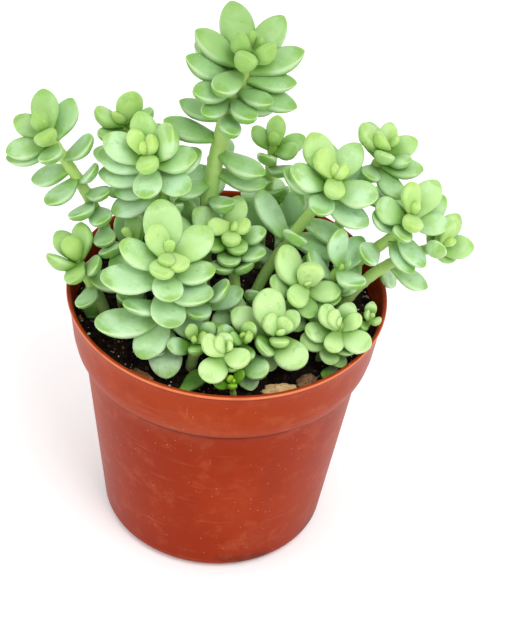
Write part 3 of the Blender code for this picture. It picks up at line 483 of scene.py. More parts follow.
# Two stones and a chip of bark. Worn river grit, the tan one speckled, pressed a little into the peat behind
# the front rim. Places and sizes are in millimetres, and turns in degrees.
STONES = dict(
    stone_tan=dict(place=(16.5, -35.2, 74.4), size=(9.5, 5.0, 4.6), turn=8),
    stone_brown=dict(place=(23.5, -29.5, 73.6), size=(6.0, 4.5, 3.6), turn=40),
    bark=dict(place=(-21.5, -32.0, 73.2), size=(7.5, 4.0, 2.6), turn=-35),
)
STONE_RINGS = 24
STONE_ROUND = 36


def worn_stone(name, place, size, turn, grain):
    """A ball whose radius has the solid's slow waves and finer dents, squashed, turned and set in place."""
    up = np.linspace(0, np.pi, STONE_RINGS + 2)[1:-1, None]
    around = np.linspace(0, 2 * np.pi, STONE_ROUND, endpoint=False)[None]
    rings = [np.sin(up) * np.cos(around), np.sin(up) * np.sin(around), -np.cos(up) + 0 * around]
    ball = np.stack(rings, axis=-1) / 2
    ball = np.concatenate([ball.reshape(-1, 3), [[0, 0, -0.5], [0, 0, 0.5]]])
    x, y, z = (ball * 9).T
    swell = 1 + 0.10 * np.sin(x + 1.7 * y) + 0.08 * np.cos(2.1 * z - x) + 0.05 * np.sin(3 * y)
    swell += 0.025 * np.sin(2.3 * x + 1.1 * z) * np.cos(2.9 * y) + 0.012 * np.sin(5.1 * z + 4.3 * x)
    shape = ball * swell[:, None] * np.array(size) * MM
    cos, sin = math.cos(math.radians(turn)), math.sin(math.radians(turn))
    shape = shape @ np.array([[cos, sin, 0], [-sin, cos, 0], [0, 0, 1]]) + np.array(place) * MM
    faces = closed_faces(STONE_RINGS, STONE_ROUND, len(shape) - 2, len(shape) - 1)
    made = new_piece(name + "_worn", shape, faces, [grain])
    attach(made, "root")
    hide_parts(name)


def stone_grain(name, dark, middle, light):
    """Mineral mottling in three colours, with dark and pale specks and fine pits."""
    made, tree, shader, place = new_material(name, Roughness=0.82, Specular_IOR_Level=0.3)
    cloud = noise(tree, place, 1.6 * MM, 6.0, 0.65)
    body = laid_over(tree, between(tree, cloud, 0.36, 0.64), colour(*middle), colour(*light))
    body = laid_over(tree, specks(tree, place, 1300.0, 0.32, 0.30), body, colour(*dark))
    body = laid_over(tree, specks(tree, place, 900.0, 0.25, 0.16), body, colour(244, 232, 208))
    pits = noise(tree, place, 0.4 * MM, 4.0, 0.7)
    finish_with(tree, shader, body, None, pits, 0.25 * MM)
    return made


GRAINS = dict(
    stone_tan=stone_grain("tan_stone", (128, 84, 44), (188, 148, 98), (222, 190, 140)),
    stone_brown=stone_grain("brown_stone", (58, 38, 26), (112, 82, 58), (152, 118, 84)),
    bark=stone_grain("bark_chip", (52, 32, 20), (104, 68, 40), (146, 104, 64)),
)
for name, stone in STONES.items():
    worn_stone(name, grain=GRAINS[name], **stone)


# The leafy stems. Each is one shoot of the sedum: a fleshy stem and the plump waxy leaves that grow from it
# in a spiral, youngest in the heart. Leaves of different stems give way to each other, as in the solids.

# A leaf is an ellipse carried along a midline, as parts of its length. Its tip is round at a power of
# a half and more pointed above that.
LEAF_WIDTH = 0.58
LEAF_THICKNESS = 0.34
YOUNG_LEAF_PLUMPER = 0.24
LEAF_CURL = 0.10
WIDEST_AT = 0.58
NECK_WIDTH = 0.43
TIP_POWER = 0.74
UPPER_FACE = 0.68
LOWER_FACE = 1.15

# A bud is broader at its root and presses harder on its neighbours, less and less as it opens.
BUD_NECK_WIDER = 0.3
BUD_PRESS = 1.6 * MM
BUD_OPENING = 3.5

# How leaves follow each other down a stem, counted from the youngest.
GOLDEN_TURN = 137.5
YOUNGEST_TILT = 8
FULL_AGE = 9
GROWN_BELOW = 12 * MM
CROWDED = 8
STEM_RADIUS = 1.55 * MM
STEM_FOOT = 3.0 * MM

# Leaves turn their upper faces some way towards the light, which comes from above and in front.
TO_LIGHT = (0, -0.6, 0.8)
LIGHT_TURN = 0.6

# How far leaves of different stems keep clear of each other, and how they give way.
LEAF_CLEARANCE = 0.4 * MM
SHARED_BEND = 0.7 * MM
MOST_BEND = 42
BEND_ROUNDS = 44
TURN_SHARE = 0.45
MOST_TURN = 0.09
PULL_BACK = 0.15

# A leaf that is still pressed this deep after the first rounds shortens at every sixth round, and one that
# overlaps by more than this in the end isn't grown.
FIRST_ROUNDS = 14
SHORTENING_EVERY = 6
PRESSED = 0.45 * MM
SHORTER_BY = 0.94
SHORTEST = 0.62
NO_ROOM = 1.4 * LEAF_CLEARANCE

# Each leafy stem, in millimetres and degrees. A lean or a turn of 0 faces the viewer for a lean and
# +X for a turn; a lean's second number is its tilt from upright. The rosette's leaves crowd round the
# head by the rule below, and the low ones follow at an even spacing. The extra ones are the leaves that
# the photograph shows one by one: how far below the head, turn, tilt from the stem, and length.
# wide, thick and tip say how broad, plump and pointed a stem's leaves are.
PLAIN_SHOOT = dict(
    low=0, spacing=4.0, young=14.0, most=50, slow=4.0, gap=1.5, hand=1,
    turn=GOLDEN_TURN, stem=STEM_RADIUS / MM, wide=LEAF_WIDTH, thick=LEAF_THICKNESS,
    tip=TIP_POWER, bare=5, old=0, shared=SHARED_BEND / MM, extra=(),
)
SHOOTS = dict(
    crown=dict(
        root=(-7.3, 4), head=(2, 12, 152.3), lean=(88, 18), leaf=15, rosette=2, first=30, stem=2.2,
        wide=0.47, thick=0.38, tip=0.78, shared=1.2, extra=(
            (1.5, 215, 45, 10), (2, 305, 38, 10.5), (2.7, 255, 62, 11.5), (3.5, 115, 75, 17.5),
            (4.5, 55, 55, 16), (5.5, 172, 82, 15.5), (6.5, 10, 60, 16), (7.5, 242, 92, 15),
            (8, 80, 85, 14.5), (8.5, 352, 78, 14), (8.5, 145, 95, 15), (10, 195, 82, 16),
            (11, 340, 90, 16), (12, 220, 88, 15.5), (12.5, 318, 80, 13.5), (13, 105, 98, 14),
            (15.5, 290, 82, 14), (16, 235, 98, 13), (18, 25, 98, 13), (21, 275, 88, 13),
            (23, 155, 98, 13), (29, 190, 88, 15.5), (33, 320, 92, 15.5), (36, 75, 95, 13),
            (39, 345, 95, 14), (43, 210, 100, 13), (47, 300, 98, 13),
        ),
    ),
    left_high=dict(
        root=(-29, -1), head=(-53.5, 10, 123.7), lean=(-64, 29), leaf=13, rosette=1, first=251, extra=(
            (0.8, 325, 15, 7.5), (1.8, 295, 65, 10), (3, 95, 60, 12), (3.5, 150, 65, 10.5),
            (5, 200, 70, 12), (6, 55, 75, 12.5), (7, 280, 80, 11.5), (8, 190, 80, 13.5),
            (12, 350, 80, 12.5), (16, 170, 90, 13), (19, 245, 95, 12.5), (20, 335, 80, 10.5),
            (24, 330, 100, 10.5), (27, 270, 95, 12), (29, 295, 110, 11.5), (35, 270, 105, 11),
            (40, 310, 95, 12),
        ),
    ),
    big_left=dict(
        root=(-15, 4), head=(-25, 2, 124), lean=(-37, 31), leaf=15, rosette=1, first=342, extra=(
            (0.8, 125, 35, 7.5), (1, 12, 45, 7.5), (1.8, 290, 60, 9.5), (3, 68, 55, 12),
            (4, 18, 65, 14.5), (4.5, 355, 75, 13.5), (5, 165, 72, 13.5), (6.5, 275, 82, 13.5),
            (7.5, 175, 80, 14.5), (8.5, 320, 88, 14), (10.5, 182, 85, 15), (12, 16, 88, 13.5),
            (14, 200, 90, 12), (17, 202, 92, 14.5), (18, 12, 95, 15), (23, 295, 75, 12),
            (28, 50, 115, 12.5), (31, 120, 130, 13),
        ),
    ),
    behind_left=dict(
        root=(-21, 15), head=(-31.3, 20, 123.4), lean=(170, 12), leaf=13, rosette=1, first=30, extra=(
            (0.8, 255, 60, 7), (2, 275, 38, 11.5), (3, 212, 68, 10.5), (3.5, 335, 58, 10),
            (5, 230, 82, 10), (9, 25, 85, 11), (14, 145, 95, 12), (20, 250, 90, 11),
        ),
    ),
    front_left=dict(
        root=(-16.5, -20), head=(-16.3, -15, 103.6), lean=(30, 12), leaf=14, rosette=1, first=101,
        wide=0.60, thick=0.25, tip=0.62, bare=1, extra=(
            (0.6, 270, 70, 7), (1, 300, 68, 8.5), (1.5, 148, 45, 10), (2.2, 258, 76, 10.5),
            (3, 40, 60, 14), (3.5, 98, 60, 16.5), (5, 182, 70, 14), (6, 78, 75, 17.5),
            (6, 276, 96, 13.5), (6.5, 340, 76, 14), (8.5, 204, 88, 18.5), (11, 322, 90, 16.5),
            (12, 145, 82, 17.5), (12, 288, 114, 16), (17, 228, 80, 14), (19, 248, 122, 16),
            (20, 210, 104, 19.5), (20, 326, 110, 13.5), (23, 282, 125, 16),
            (26, 250, 98, 11.5),
        ),
    ),
    left_low=dict(
        root=(-33, -8), head=(-42.7, -5, 93), lean=(-70, 16), leaf=12, rosette=1, first=193, bare=8, extra=(
            (1.2, 292, 15, 8.5), (2.5, 120, 55, 9.5), (3, 36, 56, 10.5), (3.5, 280, 82, 9.5),
            (4.5, 245, 52, 10.5), (6, 338, 66, 10), (12, 280, 90, 11),
        ),
    ),
    centre=dict(
        root=(4, -12), head=(-0.3, -3, 104.3), lean=(3, 30), leaf=13, rosette=1, first=343, bare=1, extra=(
            (0.8, 176, 48, 7.5), (0.8, 356, 40, 7), (1.6, 275, 62, 8), (3, 92, 60, 10),
            (4, 288, 90, 9.5), (4.5, 235, 80, 9.5), (5.5, 356, 75, 10), (6, 135, 76, 13),
            (8, 275, 110, 11.5), (9, 312, 118, 12), (12, 236, 112, 12), (14, 306, 118, 13.5),
            (22, 300, 122, 9.5), (24, 250, 118, 11),
        ),
    ),
    right_big=dict(
        root=(6, -5), head=(26.8, 2, 121.6), lean=(18, 21), leaf=14, rosette=1, first=215, extra=(
            (0.8, 162, 48, 9.5), (1, 325, 16, 6.5), (1.8, 268, 76, 9), (3, 136, 60, 13.5),
            (4, 56, 70, 12.5), (5, 196, 75, 14), (5.5, 335, 75, 14), (6.5, 95, 80, 13),
            (7, 254, 88, 12.5), (9, 36, 82, 15), (9, 178, 82, 13.5), (10, 325, 85, 14.5),
            (20, 6, 94, 13.5), (25, 250, 76, 12.5), (26, 4, 96, 16.5), (27, 142, 74, 16),
            (44, 206, 92, 14.5), (47, 248, 74, 12),
        ),
    ),
    right_back=dict(
        root=(26, 13), head=(41.3, 15, 123), lean=(100, 21), leaf=12, rosette=1, first=355, extra=(
            (0.8, 218, 60, 7.5), (2.2, 184, 72, 10.5), (2.5, 98, 55, 8), (3.2, 262, 70, 9), (3.5, 35, 64, 10),
            (4, 315, 68, 9), (5.5, 122, 75, 11), (6.5, 336, 76, 12), (7.5, 304, 95, 12.5),
            (8, 248, 86, 10.5), (14, 272, 82, 12), (18, 10, 85, 14),
        ),
    ),
    right=dict(
        root=(27, 2), head=(49.3, 0, 112.3), lean=(42, 18), leaf=13.3, rosette=1, first=215, extra=(
            (0.8, 134, 38, 9), (1.8, 258, 66, 9), (3, 64, 60, 12), (4, 170, 76, 12),
            (5, 356, 72, 11), (6, 250, 76, 10), (6.5, 44, 68, 14), (9, 188, 84, 11),
            (10, 318, 82, 12), (13, 310, 90, 11.5), (18, 228, 105, 12.5), (22, 332, 100, 12),
            (26, 256, 116, 13),
        ),
    ),
    far_right=dict(
        root=(31, -3), head=(59, 0, 101.5), lean=(75, 60), leaf=11, rosette=1, first=186, extra=(
            (0.8, 126, 68, 7), (2, 104, 52, 10), (3, 12, 45, 10.5), (4, 0, 74, 8.5),
            (5, 82, 70, 8), (5.5, 224, 68, 9.5), (17, 330, 70, 12), (20, 355, 98, 12),
        ),
    ),
    back=dict(
        root=(8, 20), head=(9.9, 25, 113.6), lean=(0, 8), leaf=13, rosette=1, first=261, extra=(
            (2, 84, 50, 8.5), (3, 150, 60, 8), (3.5, 338, 64, 9), (4, 16, 66, 9.5),
            (5.5, 252, 58, 9.5), (9, 298, 66, 11), (13, 232, 70, 12), (17, 292, 66, 12),
            (21, 110, 110, 11.5),
        ),
    ),
    mid_right=dict(
        root=(15, -10), head=(21.9, -13, 94.2), lean=(25, 42), leaf=12, rosette=1, first=131,
        wide=0.60, thick=0.28, tip=0.64, bare=1, extra=(
            (0.8, 96, 42, 10.5), (1.8, 228, 74, 9.5), (3, 142, 60, 14), (3.5, 356, 62, 10),
            (4.5, 280, 84, 9.5), (5.5, 58, 82, 10), (6, 182, 56, 11), (7.5, 344, 80, 12),
            (12, 270, 86, 11), (13, 202, 72, 11),
        ),
    ),
    front_mid=dict(
        root=(12, -20), head=(14.7, -24, 86.3), lean=(27, 34), leaf=12, rosette=1, first=288,
        wide=0.60, thick=0.28, tip=0.64, bare=1, extra=(
            (0.8, 158, 46, 7.5), (0.8, 60, 15, 7), (2, 122, 55, 13.5), (2.5, 48, 56, 8.5),
            (3, 275, 62, 8), (3.5, 304, 62, 13.5), (5, 172, 72, 13), (5, 226, 72, 10.5),
            (7, 252, 86, 8.5),
        ),
    ),
    right_front=dict(
        root=(27, -18), head=(31.4, -21, 87.8), lean=(3, 25), leaf=11, rosette=1, first=170,
        wide=0.60, thick=0.28, tip=0.64, bare=0.5, extra=(
            (0.8, 160, 34, 6.5), (2, 160, 50, 9), (2.5, 20, 46, 7), (3, 254, 80, 8.5),
            (3.5, 318, 64, 11), (4.5, 92, 72, 8.5), (5.5, 195, 84, 10), (8, 262, 90, 9.5),
            (8, 298, 76, 9), (7, 212, 92, 10.5), (10, 288, 74, 9),
        ),
    ),
    front_low=dict(
        root=(0, -29), head=(0.9, -33, 86.8), lean=(20, 20), leaf=11, rosette=1, first=2,
        wide=0.60, thick=0.28, tip=0.64, bare=1, extra=(
            (0.6, 180, 30, 6), (1.5, 188, 50, 9), (2, 328, 64, 9.5), (2.5, 95, 30, 7),
            (3.2, 254, 82, 11.5), (5, 306, 70, 7.5),
        ),
    ),
    rim_tiny=dict(
        root=(37, -11), head=(39.7, -13, 84.1), lean=(45, 15), leaf=6.8, rosette=5, young=5,
        most=90, gap=1.3, first=40, bare=1, stem=1.1,
    ),
    bright=dict(
        root=(4, -36), head=(3.2, -38, 79.5), lean=(0, 20), leaf=5.5, rosette=5, young=4,
        most=90, gap=1.0, first=0, bare=-1, stem=0.9,
    ),
    under_left=dict(
        root=(-24, -4), head=(-28, -3, 98), lean=(-60, 30), leaf=12, rosette=1, first=80, bare=1, extra=(
            (3, 82, 60, 8), (6, 148, 75, 14.5), (10, 90, 116, 13), (14, 214, 92, 14.5),
            (18, 256, 82, 12.5),
        ),
    ),
    under_back=dict(
        root=(-9, 13), head=(-11, 12, 95), lean=(-60, 20), leaf=13, rosette=3, low=3,
        spacing=4, young=1, most=85, slow=2, gap=2.4, first=30, hand=-1, bare=1, old=6,
    ),
    under_far=dict(
        root=(15, 14), head=(13, 12.5, 94.5), lean=(-20, 20), leaf=13.5, rosette=3, low=3,
        spacing=4, young=1, most=85, slow=2, gap=2.4, first=250, bare=1, old=6,
    ),
    under_mid=dict(
        root=(-6.5, -14.5), head=(-6, -15.5, 90.5), lean=(-30, 20), leaf=12, rosette=4, low=3,
        spacing=3, young=1, most=88, slow=2, gap=2.4, first=200, bare=1, old=6,
    ),
    under_right=dict(
        root=(26, -6), head=(31, -7, 97), lean=(60, 30), leaf=12.5, rosette=4, low=4,
        spacing=3, young=1, most=88, slow=2, gap=2.4, first=10, bare=1, old=6,
    ),
    back_left=dict(
        root=(-11, 30), head=(-12, 30, 91), lean=(-160, 15), leaf=11, rosette=7, young=5,
        most=90, first=60, bare=1,
    ),
    back_right=dict(
        root=(15, 31), head=(16, 32, 88), lean=(150, 15), leaf=10.5, rosette=6, young=4,
        most=90, first=200, hand=-1, bare=1,
    ),
    low_mid=dict(
        root=(5, -25), head=(5.5, -26.5, 85), lean=(10, 15), leaf=9, rosette=6, young=5,
        most=92, gap=1.3, first=120, hand=-1, bare=0.5,
        extra=((6, 324, 84, 13), (7, 288, 108, 11)),
    ),
    low_left=dict(
        root=(-8.5, -25.5), head=(-7.3, -26.8, 83.5), lean=(-10, 20), leaf=9, rosette=6, young=5,
        most=92, gap=1.3, first=220, bare=0.5,
    ),
)


def unit(vectors):
    """Vectors of length 1 the same way."""
    return vectors / np.linalg.norm(vectors, axis=-1, keepdims=True)


def distance_along(line):
    """How far along a line each of its points is."""
    return np.concatenate([[0], np.cumsum(np.linalg.norm(np.diff(line, axis=0), axis=1))])


def stem_line(shoot, count=80):
    """A cubic curve that leaves the soil upright and comes into the head along its lean."""
    root = np.array([*shoot["root"], 0]) * MM + [0, 0, SOIL_HEIGHT - STEM_FOOT]
    head = np.array(shoot["head"]) * MM
    turn, tilt = np.radians(shoot["lean"])
    lean = np.array([math.sin(tilt) * math.sin(turn), -math.sin(tilt) * math.cos(turn), math.cos(tilt)])
    span = np.linalg.norm(head - root)
    rise = root + [0, 0, 0.42 * span]
    entry = head - 0.36 * span * lean
    t = np.linspace(0, 1, count)[:, None]
    return (1 - t) ** 3 * root + 3 * t * (1 - t) ** 2 * rise + 3 * t**2 * (1 - t) * entry + t**3 * head


def stem_frame(line):
    """The direction along a stem, and a side direction carried down from +X at its head."""
    along = unit(np.gradient(line, axis=0))
    side = np.empty_like(along)
    carried = np.array([1.0, 0, 0])
    for k in range(len(line) - 1, -1, -1):
        carried = unit(carried - along[k] * (carried @ along[k]))
        side[k] = carried
    return along, side


def stem_radius(line, shoot):
    """A stem thins over its last 8 mm."""
    from_head = distance_along(line)[-1] - distance_along(line)
    return shoot["stem"] * MM * np.interp(from_head, [0, 3 * MM, 8 * MM], [0.5, 0.8, 1.0])


def outline(along, tip, neck):
    """Half width along a leaf as a part of its greatest: a sine rise from the neck, then its tip."""
    rise = neck + (1 - neck) * np.sin(np.pi / 2 * np.clip(along / WIDEST_AT, 0, 1)) ** 1.2
    past = np.clip((along - WIDEST_AT) / (1 - WIDEST_AT), 0, 1)
    return np.where(along < WIDEST_AT, rise, (1 - past**2) ** tip)


def leaf_rows(shoot):
    """(distance below the head, turn, tilt, length, age) of each leaf, youngest first.

    Leaves open and lengthen with age, and their spacing grows to gap, then to spacing lower down.
    """
    count = shoot["rosette"] + shoot["low"]
    order = np.arange(count)
    step = shoot["gap"] * np.clip(0.15 + 0.85 * order / CROWDED, 0, 1)
    step[shoot["rosette"]:] = shoot["spacing"]
    step[0] = 0.3
    length = shoot["leaf"] * np.clip(0.32 + 0.68 * (order / shoot["young"]) ** 0.7, 0, 1)
    length[shoot["rosette"]:] *= 0.95
    tilt = YOUNGEST_TILT + (shoot["most"] - YOUNGEST_TILT) * (1 - np.exp(-order / shoot["slow"]))
    tilt[shoot["rosette"]:] = tilt[shoot["rosette"] - 1]
    turn = shoot["first"] + shoot["hand"] * shoot["turn"] * order
    age = np.clip((order + shoot["old"]) / FULL_AGE, 0, 1)
    rows = np.stack([np.cumsum(step) * MM, np.radians(turn), np.radians(tilt), length * MM, age], axis=1)
    low_down = [
        (below * MM, math.radians(turned), math.radians(tilted), size * MM, min(below * MM / GROWN_BELOW, 1))
        for below, turned, tilted, size in shoot["extra"]
    ]
    return np.concatenate([rows, np.array(low_down).reshape(-1, 5)])


def grow(shoots):
    """Every leaf of the plant as arrays: base, way it points, upper face, length, age and stem."""
    found = []
    for number, (shoot, line) in enumerate(shoots):
        along, side = stem_frame(line)
        far = distance_along(line)
        rows = leaf_rows(shoot)
        rows = rows[far[-1] - rows[:, 0] >= shoot["bare"] * MM + STEM_FOOT]
        below, turn, tilt, length, age = rows.T
        at = far[-1] - below

        def read(values):
            return np.stack([np.interp(at, far, values[:, axis]) for axis in range(3)], axis=1)

        up = unit(read(along))
        across = read(side)
        across = unit(across - up * np.sum(across * up, axis=1, keepdims=True))
        out = across * np.cos(turn)[:, None] + np.cross(up, across) * np.sin(turn)[:, None]
        thick = shoot["stem"] * MM * np.interp(below, [0, 3 * MM, 8 * MM], [0.5, 0.8, 1.0])
        opened, closed = np.sin(tilt)[:, None], np.cos(tilt)[:, None]
        way, face = up * closed + out * opened, up * opened - out * closed
        lit = np.array(TO_LIGHT) - way * (way @ np.array(TO_LIGHT))[:, None]
        bud = np.clip(1 - BUD_OPENING * age, 0, 1)
        found.append(
            dict(
                base=read(line) + out * thick[:, None] * 0.5,
                way=way,
                face=unit(face + LIGHT_TURN * lit),
                length=length,
                age=age,
                owner=np.full(len(age), number),
                shared=shoot["shared"] * MM + BUD_PRESS * bud,
                neck=NECK_WIDTH + BUD_NECK_WIDER * bud,
                wide=np.full(len(age), shoot["wide"]),
                thick=np.full(len(age), shoot["thick"]),
                tip=np.full(len(age), shoot["tip"]),
            )
        )
    return {key: np.concatenate([part[key] for part in found]) for key in found[0]}


def leaf_size(leaves):
    """Width and thickness as parts of the length. A young leaf is plumper, and half as much wider."""
    plumper = YOUNG_LEAF_PLUMPER * np.clip(1 - 1.5 * leaves["age"], 0, 1)
    return leaves["wide"] + plumper / 2, leaves["thick"] + plumper


# Two balls side by side at each of these stations stand for a leaf while it finds its room.
BALL_STATIONS = np.repeat([0.30, 0.48, 0.66, 0.84], 2)
BALL_SIDES = np.tile([-1.0, 1.0], 4)


def leaf_balls(leaves):
    """Centres and radii of the balls that fill each leaf."""
    width, thickness = (share[:, None] for share in leaf_size(leaves))
    length, tip, neck = (leaves[key][:, None] for key in ("length", "tip", "neck"))
    half = outline(BALL_STATIONS, tip, neck) * length / 2
    across = np.cross(leaves["face"], leaves["way"])[:, None]
    reach = (BALL_STATIONS * leaves["length"][:, None])[..., None]
    curl = (LEAF_CURL * BALL_STATIONS**2 * leaves["length"][:, None])[..., None]
    centres = leaves["base"][:, None] + reach * leaves["way"][:, None] + curl * leaves["face"][:, None]
    centres = centres + (BALL_SIDES * half * (width - thickness))[..., None] * across
    return centres, half * thickness


def near_pairs(leaves):
    """Pairs of leaves close enough to meet, each pair once."""
    middle = leaves["base"] + 0.6 * leaves["length"][:, None] * leaves["way"]
    reach = 0.65 * leaves["length"]
    apart = np.linalg.norm(middle[:, None] - middle[None], axis=-1)
    order = np.arange(len(reach))
    close = apart < reach[:, None] + reach[None] + 6 * MM
    return np.nonzero(close & (order[:, None] < order[None]))


def leaf_contacts(centres, radii, leaves, pairs):
    """(leaf, ball, push) for balls of two leaves that come too near. One stem's leaves may press a little."""
    first, second = pairs
    strangers = leaves["owner"][first] != leaves["owner"][second]
    outer = BALL_STATIONS > 0.4
    allowed = np.where(strangers[:, None, None], True, outer[None, :, None] & outer[None, None, :])
    margin = np.where(strangers, LEAF_CLEARANCE, -leaves["shared"][first])[:, None, None]
    between = centres[first][:, :, None] - centres[second][:, None]
    apart = np.linalg.norm(between, axis=-1) + 1e-9
    depth = radii[first][:, :, None] + radii[second][:, None] + margin - apart
    pair, one, other = np.nonzero((depth > 0) & allowed)
    depth = depth[pair, one, other]
    share = np.where(strangers[pair], 0.5, 0.3) * depth
    push = between[pair, one, other] / apart[pair, one, other][:, None] * share[:, None]
    depth = np.where(strangers[pair], depth, 0)
    return [(first[pair], one, push, depth), (second[pair], other, -push, depth)]


def stem_contacts(centres, radii, leaves, stems):
    """Pushes on balls that come too near another shoot's stem."""
    points, thick, owner = stems
    balls = centres.reshape(-1, 3)
    squared = (balls**2).sum(1)[:, None] + (points**2).sum(1) - 2 * balls @ points.T
    apart = np.sqrt(np.maximum(squared, 0)) + 1e-9
    depth = radii.reshape(-1)[:, None] + thick + 1.6 * LEAF_CLEARANCE - apart
    depth[np.repeat(leaves["owner"], len(BALL_SIDES))[:, None] == owner] = -1
    nearest = depth.argmax(axis=1)
    hit = np.nonzero(depth.max(axis=1) > 0)[0]
    nearest = nearest[hit]
    push = (balls[hit] - points[nearest]) * (depth[hit, nearest] / apart[hit, nearest])[:, None]
    return [(hit // len(BALL_SIDES), hit % len(BALL_SIDES), push, depth[hit, nearest])]


def pot_contacts(centres, radii):
    """Pushes on balls that sink into the soil or come too near the pot's upright lip."""
    balls = centres.reshape(-1, 3)
    radius = radii.reshape(-1)
    from_axis = np.hypot(balls[:, 0], balls[:, 1]) + 1e-9
    contacts = []
    depth = SOIL_HEIGHT + 0.9 * MM + radius + LEAF_CLEARANCE - balls[:, 2]
    hit = np.nonzero((depth > 0) & (from_axis < RIM_RADIUS))[0]
    push = np.zeros((len(hit), 3))
    push[:, 2] = depth[hit]
    contacts.append((hit // len(BALL_SIDES), hit % len(BALL_SIDES), push, depth[hit]))
    wall = np.clip(from_axis, RIM_RADIUS - POT_WALL, RIM_RADIUS)
    outward = from_axis - wall
    upward = balls[:, 2] - np.minimum(balls[:, 2], POT_HEIGHT)
    apart = np.hypot(outward, upward)
    depth = radius + 2 * LEAF_CLEARANCE - apart
    hit = np.nonzero(depth > 0)[0]
    way = balls[hit] / from_axis[hit, None] * outward[hit, None]
    way[:, 2] = upward[hit]
    way = np.where(apart[hit, None] > 1e-6, way / (apart[hit, None] + 1e-9), [0, 0, 1.0])
    contacts.append((hit // len(BALL_SIDES), hit % len(BALL_SIDES), way * depth[hit, None], depth[hit]))
    return contacts


def make_room(leaves, shoots):
    """Bends each leaf about its base until leaves of different stems, the pot and the soil are clear.

    A leaf that stays pressed shortens a little, and one that still finds no room isn't grown.
    """
    count = len(leaves["length"])
    straight, full_length = leaves["way"].copy(), leaves["length"].copy()
    pairs = near_pairs(leaves)
    stems = (
        np.concatenate([line[::3] for _, line in shoots]),
        np.concatenate([stem_radius(line, shoot)[::3] for shoot, line in shoots]),
        np.concatenate([np.full(len(line[::3]), k) for k, (_, line) in enumerate(shoots)]),
    )

    def contacts():
        centres, radii = leaf_balls(leaves)
        found = leaf_contacts(centres, radii, leaves, pairs)
        found += stem_contacts(centres, radii, leaves, stems)
        found += pot_contacts(centres, radii)
        turn, worst = np.zeros((count, 3)), np.zeros(count)
        arms = centres - leaves["base"][:, None]
        for leaf, ball, push, depth in found:
            arm = arms[leaf, ball]
            np.add.at(turn, leaf, np.cross(arm, push) / (np.sum(arm**2, axis=1, keepdims=True) + MM**2))
            np.maximum.at(worst, leaf, depth)
        return turn, worst

    def square_up():
        leaves["way"] = unit(leaves["way"])
        skew = np.sum(leaves["face"] * leaves["way"], axis=1, keepdims=True)
        leaves["face"] = unit(leaves["face"] - leaves["way"] * skew)

    for attempt in range(BEND_ROUNDS):
        turn, worst = contacts()
        turn *= TURN_SHARE
        size = np.linalg.norm(turn, axis=1, keepdims=True) + 1e-12
        turn *= np.minimum(size, MOST_TURN) / size
        leaves["way"] = leaves["way"] + np.cross(turn, leaves["way"])
        leaves["face"] = leaves["face"] + np.cross(turn, leaves["face"])
        square_up()
        too_far = np.sum(leaves["way"] * straight, axis=1) < math.cos(math.radians(MOST_BEND))
        leaves["way"][too_far] += PULL_BACK * straight[too_far]
        square_up()
        if attempt > FIRST_ROUNDS and attempt % SHORTENING_EVERY == 0:
            pressed = (worst > PRESSED) & (leaves["length"] > SHORTEST * full_length)
            leaves["length"][pressed] *= SHORTER_BY

    kept = np.ones(count, bool)
    while True:
        _, worst = contacts()
        if worst[kept].max() < NO_ROOM:
            break
        crowded = np.where(kept, worst, 0).argmax()
        kept[crowded] = False
        out_of_the_way = [0, 0, 1]
        leaves["base"][crowded] += out_of_the_way
    return {key: values[kept] for key, values in leaves.items()}


# Finer faces: stations along a leaf, and points round it bunched towards its rims. Its section is the sine
# of the turn round it to these powers, above and below.
STATIONS = np.array([0, 0.07, 0.16, 0.27, 0.39, 0.5, 0.61, 0.72, 0.81, 0.88, 0.94, 0.975, 0.993])
ROUND_LEAF = 16
RIM_BUNCHING = 0.28
LENS_UPPER = 0.94
LENS_LOWER = 0.90

# A finer leaf is a hair shorter than its solid, to stay in its box, and blunter and plumper.
FINER_LENGTH = 0.996
FINER_TIP = 0.9
FINER_LIFT = 1.06

# How far each leaf may differ by its draw: in width, twist and sway, from one end of the draw to the other.
WIDTH_DRAW = 0.05
TWIST_DRAW = math.radians(14)
SWAY_DRAW = 0.05

# A stem has low swellings at its leaves and at the scars of lost ones, and isn't quite round.
STEM_ROUND = 14
STEM_RING_SPACING = 0.8 * MM
SCAR_SPACING = 2.9 * MM
SWELLING_LENGTH = 0.55 * MM
SWELLING_HEIGHT = 0.16
OUT_OF_ROUND = 0.03
OUT_OF_ROUND_TURN = 260


